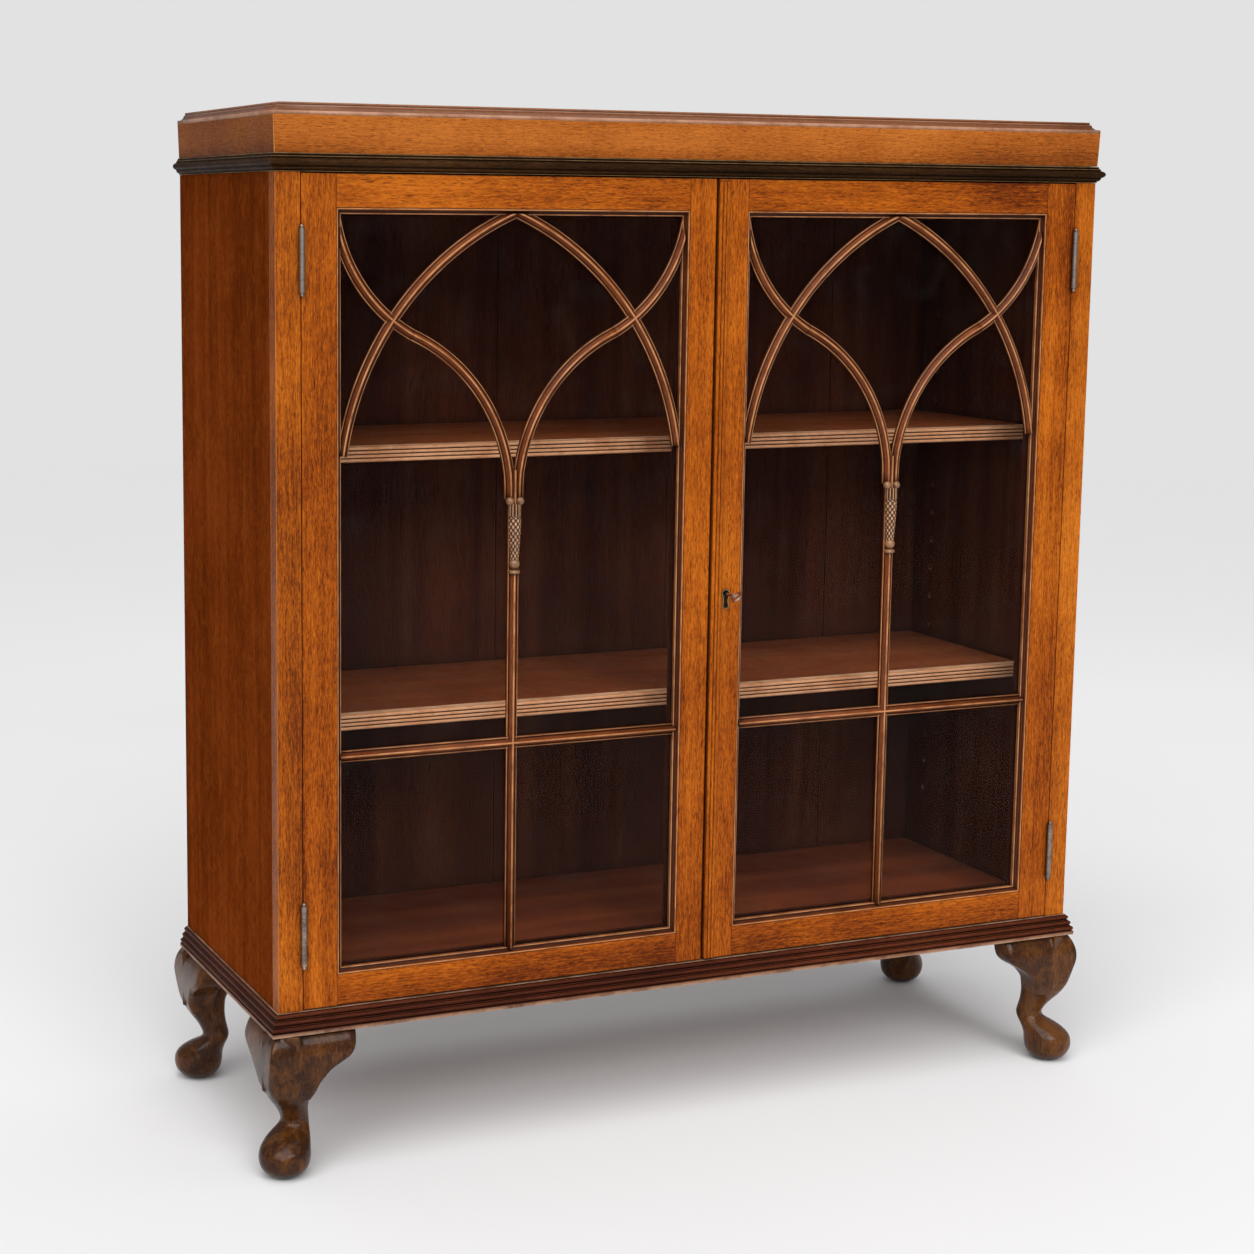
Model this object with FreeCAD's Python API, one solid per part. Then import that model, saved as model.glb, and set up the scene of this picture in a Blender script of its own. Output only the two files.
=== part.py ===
import FreeCAD, Part
import math
import os

# Glazed bookcase on cabriole legs, two doors, two adjustable shelves.
# Millimetres.  +X runs to the right along the front, the front faces -Y, +Z is up.
# The floor is z = 0 and the origin is the middle of the footprint.

# ---- driving dimensions ----
WIDTH = 1080.0            # carcase width across the side panels
DEPTH = 370.0             # carcase depth, back edge to door faces
LEG_TOP = 172.0           # underside of the base frame
BASE_HEIGHT = 26.0        # base frame and its moulding
CASE_HEIGHT = 947.0       # base moulding to cornice
CORNICE_BEAD_HEIGHT = 20.0
FRIEZE_HEIGHT = 41.0
TOP_HEIGHT = 13.5

BOARD = 20.0              # side panels, bottom, sub top
STILE_WIDTH = 29.0        # upright strips at the front corners
STILE_DEPTH = 20.5
BACK_BOARD = 12.0
BACK_RECESS = 8.0
BACK_JOINTS = (-375.0, -125.0, 125.0, 375.0)

DOOR_THICK = 20.0
DOOR_BOTTOM_GAP = 1.5
DOOR_TOP_GAP = 1.5
HINGE_GAP = 1.0           # door edge to front stile
LEFT_DOOR_FREE_X = 2.0    # meeting edge of the left door
RIGHT_DOOR_FREE_X = 6.0   # meeting edge of the right door
HINGE_STILE = 41.0
LEFT_MEETING_STILE = 34.0
RIGHT_MEETING_STILE = 39.0
TOP_RAIL = 37.0
BOTTOM_RAIL = 36.0
STICKING = 7.0            # moulding round the glass, seen from the front
STICKING_SET_BACK = 1.0
GLASS_FRONT = 10.5        # door face to glass
GLASS_THICK = 3.0
BEAD_WIDTH = 9.0          # loose beads behind the glass

BAR_WIDTH = 13.0          # glazing bars
BAR_SET_BACK = 1.5
STEM_WIDTH = 14.0
ARCH_APEX_Z = 905.0       # heights of the bars above the case bottom
CROSS_BAR_Z = 291.5

BARREL_R = 3.3            # hinges
PIN_R = 1.6
PIN_CLEARANCE = 0.05
BARREL_LENGTH = 70.0
FINIAL_HEIGHT = 4.6
KNUCKLES = 5
LEAF_THICK = 1.2
LEAF_DEPTH = 18.0
HINGE_HEIGHTS = (89.0, 851.0)
HINGE_AXIS_Y = 3.8        # axis in front of the door face

SHELF_THICK = 18.0
SHELF_FRONT = 82.0        # door face to shelf edge
SHELF_END_GAP = 1.5
SHELF_EDGE_DEPTH = 16.0
PEG_R = 3.5
PEG_HOLE_R = 3.55
PEG_HOLE_DEPTH = 11.0
PEG_OUT = 9.0
PEG_PITCH = 39.3
PEG_ROWS = 20
PEG_FIRST_ROW = 104.0     # above the case bottom
LOWER_SHELF_ROW = 5
UPPER_SHELF_ROW = 13
PEG_SET_BACKS = (97.0, 307.0)   # door face to each column of holes

LOCK_X = 26.0             # key axis
LOCK_Z = 453.5            # above the case bottom
KEY_OUT = 34.0            # how far the key stands out of the door
FOOT_OUT = 20.8           # how far the pad feet reach beyond the carcase

# ---- positions worked out from them ----
HALF = WIDTH / 2
MIDDLE_Y = (KEY_OUT - FOOT_OUT) / 2   # puts the origin in the middle of the whole footprint
FRONT = MIDDLE_Y - DEPTH / 2
BACK = MIDDLE_Y + DEPTH / 2
CASE_Z = LEG_TOP + BASE_HEIGHT
CASE_TOP = CASE_Z + CASE_HEIGHT
FRIEZE_Z = CASE_TOP + CORNICE_BEAD_HEIGHT
TOP_Z = FRIEZE_Z + FRIEZE_HEIGHT
PANEL_FRONT = FRONT + STILE_DEPTH
BACK_FACE = BACK - BACK_RECESS - BACK_BOARD
INNER = HALF - BOARD
PEG_COLUMNS = tuple(FRONT + set_back for set_back in PEG_SET_BACKS)
DOOR_BACK = FRONT + DOOR_THICK
DOOR_Z0 = CASE_Z + DOOR_BOTTOM_GAP
DOOR_Z1 = CASE_TOP - DOOR_TOP_GAP
HINGE_EDGE = HALF - STILE_WIDTH - HINGE_GAP
HINGE_X = HINGE_EDGE + HINGE_GAP / 2
HINGE_Y = FRONT - HINGE_AXIS_Y
GLASS_Y = FRONT + GLASS_FRONT
SIGHT_Z0 = DOOR_Z0 + BOTTOM_RAIL
SIGHT_Z1 = DOOR_Z1 - TOP_RAIL
LOCK_HEIGHT = CASE_Z + LOCK_Z

V = FreeCAD.Vector
Z_AXIS = V(0, 0, 1)
parts = {}


# ---- small helpers ----
def box(x0, x1, y0, y1, z0, z1):
    """Box between two opposite corners."""
    return Part.makeBox(x1 - x0, y1 - y0, z1 - z0, V(x0, y0, z0))


def cylinder(radius, start, end):
    """Round rod from one point to another."""
    axis = end - start
    return Part.makeCylinder(radius, axis.Length, start, axis)


def group(solids):
    """Separate solids kept together in one file."""
    return Part.makeCompound(solids)


def fuse(solids):
    """One solid from several that touch or cross."""
    return solids[0].multiFuse(solids[1:]).removeSplitter()


def flip_x(shape):
    """Mirror image across the middle of the case."""
    return shape.mirror(V(0, 0, 0), V(1, 0, 0))


def flip_y(shape):
    """Mirror image, front to back, across the middle of the carcase."""
    return shape.mirror(V(0, MIDDLE_Y, 0), V(0, 1, 0))


def prism(points, direction):
    """Flat polygon pushed along a direction."""
    return Part.Face(Part.makePolygon(points + [points[0]])).extrude(direction)


def outline(start, steps):
    """Closed wire: each step is an end point, or a middle point and an end point of an arc."""
    edges = []
    here = start
    for step in steps:
        if len(step) == 1:
            edges.append(Part.makeLine(here, step[0]))
        else:
            edges.append(Part.Arc(here, step[0], step[1]).toShape())
        here = step[-1]
    if (here - start).Length > 1e-6:
        edges.append(Part.makeLine(here, start))
    return Part.Wire(edges)


# ---- mouldings that run along the front and return down both sides ----
def mitred_run(profile, reach):
    """Front, left and right lengths of a moulding, mitred at the front corners.

    profile(make) builds the section from make(out, z), out being measured from the case faces.
    reach is how far the section extends either side of the case faces.
    """
    low = profile(lambda out, z: V(0, FRONT - out, z)).BoundBox
    z0 = low.ZMin - 1
    height = low.ZMax - low.ZMin + 2
    far = HALF + reach
    plan = [V(-far, FRONT - reach, z0), V(far, FRONT - reach, z0),
            V(far - 2 * reach, FRONT + reach, z0), V(-far + 2 * reach, FRONT + reach, z0)]
    front = Part.Face(profile(lambda out, z: V(-far, FRONT - out, z))).extrude(V(2 * far, 0, 0))
    front = front.common(prism(plan, V(0, 0, height)))
    side_plan = [V(-far, FRONT - reach, z0), V(-far + 2 * reach, FRONT + reach, z0),
                 V(-far + 2 * reach, BACK, z0), V(-far, BACK, z0)]
    left = Part.Face(profile(lambda out, z: V(-HALF - out, FRONT - reach, z)))
    left = left.extrude(V(0, DEPTH + reach, 0)).common(prism(side_plan, V(0, 0, height)))
    return [front, left, flip_x(left)]


def base_profile(make):
    """Base moulding: three reeds, each standing further out than the one above."""
    z1 = CASE_Z
    steps = [(make(2.5, z1),)]
    out = 2.5
    for reed in range(3):
        top = z1 - 1.0 - reed * 7.0
        steps.append((make(out, top),))
        steps.append((make(out + 3.2, top - 3.0), make(out + 1.6, top - 6.0)))
        out = out + 2.4
    steps.append((make(out + 0.6, z1 - 22.5),))
    steps.append((make(out + 0.6, LEG_TOP),))
    steps.append((make(-12.0, LEG_TOP),))
    return outline(make(-12.0, z1), steps)


def cornice_profile(make):
    """Cornice bead: fillet, round nose and cove."""
    z0 = CASE_TOP
    steps = [(make(2.0, z0),), (make(2.0, z0 + 3.0),), (make(5.5, z0 + 5.0),),
             (make(9.0, z0 + 10.0), make(5.5, z0 + 15.0)), (make(3.5, z0 + 16.0),),
             (make(3.0, FRIEZE_Z),), (make(-12.0, FRIEZE_Z),)]
    return outline(make(-12.0, z0), steps)


# ---- carcase ----
def peg_height(row):
    """Centre height of a row of peg holes."""
    return CASE_Z + PEG_FIRST_ROW + row * PEG_PITCH


def side_panel():
    """Left side, with the rebate for the back and two columns of peg holes."""
    panel = box(-HALF, -INNER, PANEL_FRONT, BACK, CASE_Z, CASE_TOP)
    rebate = box(-HALF + BOARD / 2, -INNER, BACK_FACE, BACK, CASE_Z, CASE_TOP)
    holes = []
    for row in range(PEG_ROWS):
        for y in PEG_COLUMNS:
            inner = V(-INNER, y, peg_height(row))
            holes.append(cylinder(PEG_HOLE_R, inner - V(PEG_HOLE_DEPTH, 0, 0), inner))
    return panel.cut(group([rebate] + holes))


def back_boards():
    """Upright boards in the rebates, with small bevels where they meet."""
    edges = (-HALF + BOARD / 2,) + BACK_JOINTS + (HALF - BOARD / 2,)
    bevel = 1.2
    boards = []
    for x0, x1 in zip(edges[:-1], edges[1:]):
        plan = [V(x0, BACK_FACE + bevel, CASE_Z), V(x0 + bevel, BACK_FACE, CASE_Z),
                V(x1 - bevel, BACK_FACE, CASE_Z), V(x1, BACK_FACE + bevel, CASE_Z),
                V(x1, BACK_FACE + BACK_BOARD, CASE_Z), V(x0, BACK_FACE + BACK_BOARD, CASE_Z)]
        boards.append(prism(plan, V(0, 0, CASE_HEIGHT)))
    return group(boards)


def rail_frame(z0, z1, front_depth):
    """Four rails in a rectangle behind a moulding, side rails between front and back."""
    x = HALF - 12.0
    y = FRONT + 12.0
    side = 45.0
    front = box(-x, x, y, y + front_depth, z0, z1)
    back = box(-x, x, BACK - 40.0, BACK, z0, z1)
    left = box(-x, -x + side, y + front_depth, BACK - 40.0, z0, z1)
    return [front, back, left, flip_x(left)]


def frieze_boards():
    """Front and side boards mitred at the front corners, and the back board of the cornice box."""
    out = 1.0
    inside = -17.0

    def section(make):
        return outline(make(inside, FRIEZE_Z), [(make(out, FRIEZE_Z),), (make(out + 1.5, TOP_Z),),
                                                (make(inside, TOP_Z),)])
    front, left, right = mitred_run(section, 30.0)
    back = box(-HALF - inside, HALF + inside, BACK - 18.0, BACK, FRIEZE_Z, TOP_Z)
    return group([front, left, right, back])


def top_board():
    """Top with a small step and a rounded upper edge at the front and both ends."""
    step = 4.5
    inset = 7.0
    lower = box(-HALF - 2.5, HALF + 2.5, FRONT - 2.5, BACK, TOP_Z, TOP_Z + step)
    x = HALF - inset
    upper = box(-x, x, FRONT + inset, BACK, TOP_Z + step, TOP_Z + TOP_HEIGHT)
    rounded = []
    for edge in upper.Edges:
        middle = edge.BoundBox.Center
        on_top = abs(middle.z - TOP_Z - TOP_HEIGHT) < 0.01
        if on_top and middle.y < BACK - 1:
            rounded.append(edge)
    upper = upper.makeFillet(6.0, rounded)
    return fuse([lower, upper])


# ---- legs ----
# height, inset of the section's centre from the case corner, half width, squareness
LEG_SECTIONS = ((172.0, 25.6, 29.6, 6.0), (162.0, 20.4, 29.6, 5.8), (152.0, 17.0, 29.6, 5.4),
                (138.0, 15.6, 29.4, 4.8), (122.0, 15.2, 28.8, 4.0), (108.0, 14.8, 27.0, 3.4),
                (92.0, 17.4, 23.2, 2.8), (76.0, 23.0, 18.6, 2.3), (64.0, 27.2, 16.7, 2.0),
                (54.0, 23.6, 19.6, 2.0), (44.0, 15.8, 25.8, 2.0), (34.0, 10.9, 29.4, 2.0),
                (23.0, 9.5, 30.3, 2.0), (12.0, 9.5, 27.4, 2.0), (4.0, 9.5, 19.6, 2.0),
                (0.0, 9.5, 11.5, 2.0))


def leg_section(height, inset, half, squareness):
    """Closed curve that passes from a rounded square to a circle."""
    points = []
    count = 24
    for i in range(count):
        angle = 2 * math.pi * i / count
        c = math.cos(angle)
        s = math.sin(angle)
        u = math.copysign(abs(c) ** (2 / squareness), c) * half
        v = math.copysign(abs(s) ** (2 / squareness), s) * half
        points.append(V(-HALF + inset + u, FRONT + inset + v, height))
    curve = Part.BSplineCurve()
    curve.interpolate(points, PeriodicFlag=True)
    return Part.Wire([curve.toShape()])


def front_left_leg():
    """Cabriole leg: knee, ankle and pad foot along the diagonal of the corner."""
    whole = Part.makeLoft([leg_section(*s) for s in LEG_SECTIONS], True, False)
    room = box(-HALF - 60, -HALF + 80, FRONT - 60, FRONT + 80, 0, LEG_TOP)
    return whole.common(room)


def front_left_ear():
    """Wing block beside the knee, under the front moulding, before it is cut round the leg."""
    x0 = -HALF + 30.0
    x1 = -HALF + 94.0
    back = FRONT + 24.0

    def at(out, z):
        return V(x0, FRONT - out, z)
    rolled = outline(at(FRONT - back, LEG_TOP),
                     [(at(5.0, LEG_TOP),), (at(11.0, 156.0), at(14.0, 138.0)),
                      (at(13.0, 118.0), at(2.0, 96.0)), (at(FRONT - back, 96.0),)])
    block = Part.Face(rolled).extrude(V(x1 - x0, 0, 0))
    y = FRONT - 40.0
    shape = outline(V(x0, y, LEG_TOP),
                    [(V(x1 - 2, y, LEG_TOP),),
                     (V(x1 - 1, y, 156.0), V(x1 - 14, y, 142.0)),
                     (V(x0 + 27, y, 131.0), V(x0 + 4, y, 102.0)), (V(x0, y, 102.0),)])
    return block.common(Part.Face(shape).extrude(V(0, 80, 0)))


def swap_ear(ear):
    """The side wing is the front wing mirrored in the diagonal of the corner."""
    moved = ear.copy()
    moved.translate(V(HALF, -FRONT, 0))
    moved = moved.mirror(V(0, 0, 0), V(1, -1, 0))
    moved.translate(V(-HALF, FRONT, 0))
    return moved


# ---- shelves ----
def shelf(row):
    """Shelf board and its reeded front edge, resting on the pegs of one row."""
    z0 = peg_height(row) + PEG_R
    x = INNER - SHELF_END_GAP
    front = FRONT + SHELF_FRONT
    board = box(-x, x, front + SHELF_EDGE_DEPTH, BACK_FACE - 2.0, z0, z0 + SHELF_THICK)
    reeds = 4
    pitch = SHELF_THICK / reeds
    steps = []
    for i in range(reeds):
        low = z0 + i * pitch
        steps.append((V(-x, front, low + pitch / 2), V(-x, front + 1.6, low + pitch)))
    steps.append((V(-x, front + SHELF_EDGE_DEPTH, z0 + SHELF_THICK),))
    steps.append((V(-x, front + SHELF_EDGE_DEPTH, z0),))
    edge = Part.Face(outline(V(-x, front + 1.6, z0), steps)).extrude(V(2 * x, 0, 0))
    return board, edge


def shelf_pegs(row):
    """Four round pegs pushed into the side panels."""
    pegs = []
    for sign in (-1, 1):
        for y in PEG_COLUMNS:
            wall = V(sign * INNER, y, peg_height(row))
            inner = wall - V(sign * PEG_OUT, 0, 0)
            outer = wall + V(sign * (PEG_HOLE_DEPTH - 0.5), 0, 0)
            pegs.append(cylinder(PEG_R, outer, inner))
    return group(pegs)


# ---- hinges, drawn for the left door ----
def leaf(door_side, centre_z):
    """Leaf let into one edge, with its own knuckles rolled round the pin."""
    z0 = centre_z - BARREL_LENGTH / 2
    z1 = centre_z + BARREL_LENGTH / 2
    if door_side:
        x0 = -HINGE_EDGE
        x1 = x0 + LEAF_THICK
    else:
        x1 = -HINGE_EDGE - HINGE_GAP
        x0 = x1 - LEAF_THICK
    plate = box(x0, x1, FRONT, FRONT + LEAF_DEPTH, z0, z1)
    pieces = [plate]
    pitch = BARREL_LENGTH / KNUCKLES
    axis = V(-HINGE_X, HINGE_Y, 0)
    bores = []
    for i in range(KNUCKLES):
        if (i % 2 == 1) != door_side:
            continue
        low = z0 + i * pitch + (0.15 if i else 0.0)
        high = z0 + (i + 1) * pitch - (0.15 if i < KNUCKLES - 1 else 0.0)
        pieces.append(cylinder(BARREL_R, axis + Z_AXIS * low, axis + Z_AXIS * high))
        pieces.append(box(x0, x1, HINGE_Y, FRONT + 1.0, low, high))
        bores.append(cylinder(PIN_R + PIN_CLEARANCE, axis + Z_AXIS * (low - 1), axis + Z_AXIS * (high + 1)))
    return fuse(pieces).cut(group(bores))


def hinge_pin(centre_z):
    """Pin with a small ball finial at each end."""
    low = V(-HINGE_X, HINGE_Y, centre_z - BARREL_LENGTH / 2)
    high = V(-HINGE_X, HINGE_Y, centre_z + BARREL_LENGTH / 2)
    pieces = [cylinder(PIN_R, low, high)]
    for end, way in ((low, -1), (high, 1)):
        collar = end + Z_AXIS * (1.2 * way)
        pieces.append(cylinder(2.3, end, collar))
        ball = Part.makeSphere(2.2, end + Z_AXIS * ((FINIAL_HEIGHT - 2.2) * way))
        pieces.append(ball)
    return fuse(pieces)


def leaf_screws(door_side, centre_z):
    """Three countersunk screws through a leaf."""
    face = -HINGE_EDGE if door_side else -HINGE_EDGE - HINGE_GAP
    way = 1 if door_side else -1
    screws = []
    for dz, dy in ((-25.0, 12.0), (0.0, 7.0), (25.0, 12.0)):
        start = V(face, FRONT + dy, centre_z + dz)
        head = Part.makeCone(2.6, 1.4, LEAF_THICK, start, V(way, 0, 0))
        shank = cylinder(1.4, start, start + V(way * 12.0, 0, 0))
        screws.append(head.fuse(shank).removeSplitter())
    return screws


def leaf_mortise(door_side, centre_z):
    """Recess for one leaf."""
    half = BARREL_LENGTH / 2
    x0 = -HINGE_EDGE if door_side else -HINGE_EDGE - HINGE_GAP - LEAF_THICK
    return box(x0, x0 + LEAF_THICK, FRONT, FRONT + LEAF_DEPTH, centre_z - half, centre_z + half)


# ---- doors ----
def door_frame(hinge_x, free_x, meeting_width):
    """Two stiles and two rails; the rails fit between the stiles."""
    way = 1 if free_x > hinge_x else -1
    sight_a = hinge_x + way * HINGE_STILE
    sight_b = free_x - way * meeting_width
    spans = {"hinge_stile": (hinge_x, sight_a), "meeting_stile": (sight_b, free_x)}
    pieces = {}
    for name, (a, b) in spans.items():
        pieces[name] = box(min(a, b), max(a, b), FRONT, DOOR_BACK, DOOR_Z0, DOOR_Z1)
    left = min(sight_a, sight_b)
    right = max(sight_a, sight_b)
    top = box(left, right, FRONT, DOOR_BACK, SIGHT_Z1, DOOR_Z1)
    bottom = box(left, right, FRONT, DOOR_BACK, DOOR_Z0, SIGHT_Z0)
    pieces["rails"] = group([top, bottom])
    return pieces, left, right


def mitred_frame(x0, x1, z0, z1, width, y0, y1):
    """Four strips round a rectangle, mitred at the corners."""
    outer = [V(x0, y0, z0), V(x1, y0, z0), V(x1, y0, z1), V(x0, y0, z1)]
    inner = [V(x0 + width, y0, z0 + width), V(x1 - width, y0, z0 + width),
             V(x1 - width, y0, z1 - width), V(x0 + width, y0, z1 - width)]
    strips = []
    for i in range(4):
        j = (i + 1) % 4
        strips.append(prism([outer[i], outer[j], inner[j], inner[i]], V(0, y1 - y0, 0)))
    return group(strips)


def bar_along(edge, width, y0, y1):
    """Flat bar that follows a line or arc drawn in the door's face."""
    count = 2 if edge.Curve.TypeId == "Part::GeomLine" else 17
    one_side = []
    other_side = []
    for i in range(count):
        t = edge.FirstParameter + (edge.LastParameter - edge.FirstParameter) * i / (count - 1)
        point = edge.valueAt(t)
        along = edge.tangentAt(t)
        across = V(-along.z, 0, along.x) * (width / 2)
        one_side.append(V(point.x, y0, point.z) + across)
        other_side.append(V(point.x, y0, point.z) - across)
    ends = [Part.makeLine(one_side[-1], other_side[-1]), Part.makeLine(other_side[0], one_side[0])]
    sides = []
    for points in (one_side, other_side[::-1]):
        if count == 2:
            sides.append(Part.makeLine(points[0], points[1]))
        else:
            curve = Part.BSplineCurve()
            curve.interpolate(points)
            sides.append(curve.toShape())
    wire = Part.Wire([sides[0], ends[0], sides[1], ends[1]])
    return Part.Face(wire).extrude(V(0, y1 - y0, 0))


def tracery_lines(left, right):
    """Centre lines of the glazing bars: crossing pointed arches above, a cross of bars below."""
    middle = (left + right) / 2
    scale = (right - left) / 437.0

    def at(x, z):
        return V(middle + x * scale, 0, CASE_Z + z)
    curved = []
    for side in (-1, 1):
        main = Part.Arc(at(0, ARCH_APEX_Z), at(side * 149, 786), at(side * 210, 634)).toShape()
        corner = Part.Arc(at(side * 218, 903), at(side * 191.5, 829), at(side * 126, 768)).toShape()
        ogee = Part.Arc(at(side * 126, 768), at(side * 51, 711), at(side * 6, 606)).toShape()
        curved += [main, corner, ogee]
    stem = Part.makeLine(at(0, 612), at(0, SIGHT_Z0 - CASE_Z + STICKING))
    inner = (right - left) / 2 / scale - STICKING
    cross = Part.makeLine(at(-inner, CROSS_BAR_Z), at(inner, CROSS_BAR_Z))
    return curved, stem, cross


def tracery(left, right):
    """All the glazing bars of one door, glued into one lattice in front of the glass."""
    curved, stem, cross = tracery_lines(left, right)
    y0 = FRONT + BAR_SET_BACK
    bars = [bar_along(stem, STEM_WIDTH, y0, GLASS_Y), bar_along(cross, BAR_WIDTH + 1, y0, GLASS_Y)]
    bars += [bar_along(edge, BAR_WIDTH, y0, GLASS_Y) for edge in curved]
    inside = box(left + STICKING, right - STICKING, y0, GLASS_Y,
                 SIGHT_Z0 + STICKING, SIGHT_Z1 - STICKING)
    return fuse(bars).common(inside)


def carving(left, right):
    """Turned and carved drop on the stem: two balls, a tapering husk and a ball with a collar."""
    middle = (left + right) / 2
    y = FRONT + BAR_SET_BACK + 0.5
    z = CASE_Z
    husk = Part.makeCone(5.2, 6.6, 62.0, V(middle, y, z + 508.5))
    pieces = [husk]
    for dx in (-6.5, 6.5):
        pieces.append(Part.makeSphere(5.0, V(middle + dx, y, z + 575.5)))
    pieces.append(Part.makeSphere(6.6, V(middle, y, z + 503.5)))
    pieces.append(Part.makeCylinder(6.0, 4.0, V(middle, y, z + 492.5)))
    front_half = box(middle - 20, middle + 20, y - 20, FRONT + BAR_SET_BACK, z + 480, z + 600)
    return fuse(pieces).common(front_half)


def build_door(name, hinge_x, free_x, meeting_width):
    """Everything that the two doors have in common; the hinge side is handled by mirroring."""
    pieces, left, right = door_frame(hinge_x, free_x, meeting_width)
    for key, shape in pieces.items():
        parts[name + "_door_" + key] = shape
    parts[name + "_door_front_mouldings"] = mitred_frame(
        left, right, SIGHT_Z0, SIGHT_Z1, STICKING, FRONT + STICKING_SET_BACK, GLASS_Y)
    parts[name + "_door_back_beads"] = mitred_frame(
        left, right, SIGHT_Z0, SIGHT_Z1, BEAD_WIDTH, GLASS_Y + GLASS_THICK, DOOR_BACK)
    parts[name + "_door_glass"] = box(left, right, GLASS_Y, GLASS_Y + GLASS_THICK, SIGHT_Z0, SIGHT_Z1)
    parts[name + "_door_tracery"] = tracery(left, right)
    parts[name + "_door_carving"] = carving(left, right)


def hang_doors():
    """Hinges for both doors, let into the door stiles and the front stiles."""
    fixed_leaves, pins, fixed_screws, door_leaves, door_screws = [], [], [], [], []
    fixed_cuts, door_cuts = [], []
    for height in HINGE_HEIGHTS:
        z = CASE_Z + height
        fixed_turn = leaf_screws(False, z)
        door_turn = leaf_screws(True, z)
        fixed_leaves.append(leaf(False, z).cut(group(fixed_turn)))
        door_leaves.append(leaf(True, z).cut(group(door_turn)))
        pins.append(hinge_pin(z))
        fixed_screws += fixed_turn
        door_screws += door_turn
        fixed_cuts += [leaf_mortise(False, z)] + fixed_turn
        door_cuts += [leaf_mortise(True, z)] + door_turn
    for shapes, name in ((fixed_leaves, "fixed_hinge_leaves"), (pins, "hinge_pins"),
                         (fixed_screws, "fixed_hinge_screws")):
        parts[name] = group(shapes + [flip_x(s) for s in shapes])
    for shapes, name in ((door_leaves, "hinge_leaves"), (door_screws, "hinge_screws")):
        parts["left_door_" + name] = group(shapes)
        parts["right_door_" + name] = group([flip_x(s) for s in shapes])
    cut = group(fixed_cuts)
    parts["left_front_stile"] = parts["left_front_stile"].cut(cut)
    parts["right_front_stile"] = parts["right_front_stile"].cut(flip_x(cut))
    cut = group(door_cuts)
    parts["left_door_hinge_stile"] = parts["left_door_hinge_stile"].cut(cut)
    parts["right_door_hinge_stile"] = parts["right_door_hinge_stile"].cut(flip_x(cut))


# ---- lock, key and bolts ----
LOCK_WALL = 1.5
LOCK_CASE = (10.0, 38.0, FRONT + 8.0, DOOR_BACK, LOCK_HEIGHT - 24.0, LOCK_HEIGHT + 24.0)
BOLT_Y = (FRONT + 14.4, FRONT + 17.6)
BOLT_HALF = 7.0
KEY_R = 1.8
RIM_THICK = 1.1     # brass lining of the keyhole
RIM_PROUD = 0.5
RIM_DEPTH = 4.0


def lock_and_key():
    """Lock let into the back of the right meeting stile; its bolt runs into the left door."""
    x0, x1, y0, y1, z0, z1 = LOCK_CASE
    w = LOCK_WALL
    gap = 0.3
    key_hole = cylinder(KEY_R + 0.6, V(LOCK_X, FRONT - 5, LOCK_HEIGHT), V(LOCK_X, y0 + 3, LOCK_HEIGHT))
    slot = box(LOCK_X - 1.3, LOCK_X + 1.3, FRONT - 5, y0 + 3, LOCK_HEIGHT - 9.0, LOCK_HEIGHT)
    bolt_way = box(-20, x0 + w, BOLT_Y[0] - gap, BOLT_Y[1] + gap,
                   LOCK_HEIGHT - BOLT_HALF - gap, LOCK_HEIGHT + BOLT_HALF + gap)
    case = box(x0, x1, y0, y1, z0, z1)
    case = case.cut(group([box(x0 + w, x1 - w, y0 + w, y1 - w, z0 + w, z1 - w), bolt_way]))
    parts["lock_case"] = case.cut(group([key_hole, slot]))
    stile = parts["right_door_meeting_stile"].cut(group([box(x0, x1, y0, y1, z0, z1), bolt_way]))
    rim = keyhole(FRONT - RIM_PROUD, FRONT + RIM_DEPTH, 0)
    opening = keyhole(FRONT - 5, y0 + w, RIM_THICK)
    parts["right_door_meeting_stile"] = stile.cut(rim).cut(opening)
    parts["escutcheon"] = rim.cut(opening)
    plate_x = LEFT_DOOR_FREE_X - 1.5
    plate = box(plate_x, LEFT_DOOR_FREE_X, DOOR_BACK - 12.0, DOOR_BACK,
                LOCK_HEIGHT - 20.0, LOCK_HEIGHT + 20.0)
    left_stile = parts["left_door_meeting_stile"].cut(plate)
    pocket = box(LEFT_DOOR_FREE_X - 11.0, LEFT_DOOR_FREE_X + 1, BOLT_Y[0] - 0.6, BOLT_Y[1] + 0.6,
                 LOCK_HEIGHT - BOLT_HALF - 1, LOCK_HEIGHT + BOLT_HALF + 1)
    parts["left_door_meeting_stile"] = left_stile.cut(pocket)
    parts["left_door_strike_plate"] = plate.cut(pocket)
    parts["lock_bolt"] = box(RIGHT_DOOR_FREE_X + 0.5, 32.0, BOLT_Y[0], BOLT_Y[1],
                             LOCK_HEIGHT - BOLT_HALF, LOCK_HEIGHT + BOLT_HALF)
    parts["key"] = key()


def keyhole(y0, y1, inset):
    """Keyhole shape run from y0 to y1, round at the top and tapering to a wider foot."""
    def at(x, z):
        return V(LOCK_X + x, y0, LOCK_HEIGHT + z)
    head = 5.5 - inset
    waist = 3.4 - inset
    heel = 4.6 - inset
    foot = 18.5 - inset
    wire = outline(at(-head, 0), [(at(0, head), at(head, 0)), (at(waist, -8),), (at(heel, -16),),
                                  (at(0, -foot), at(-heel, -16)), (at(-waist, -8),)])
    return Part.Face(wire).extrude(V(0, y1 - y0, 0))


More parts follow.
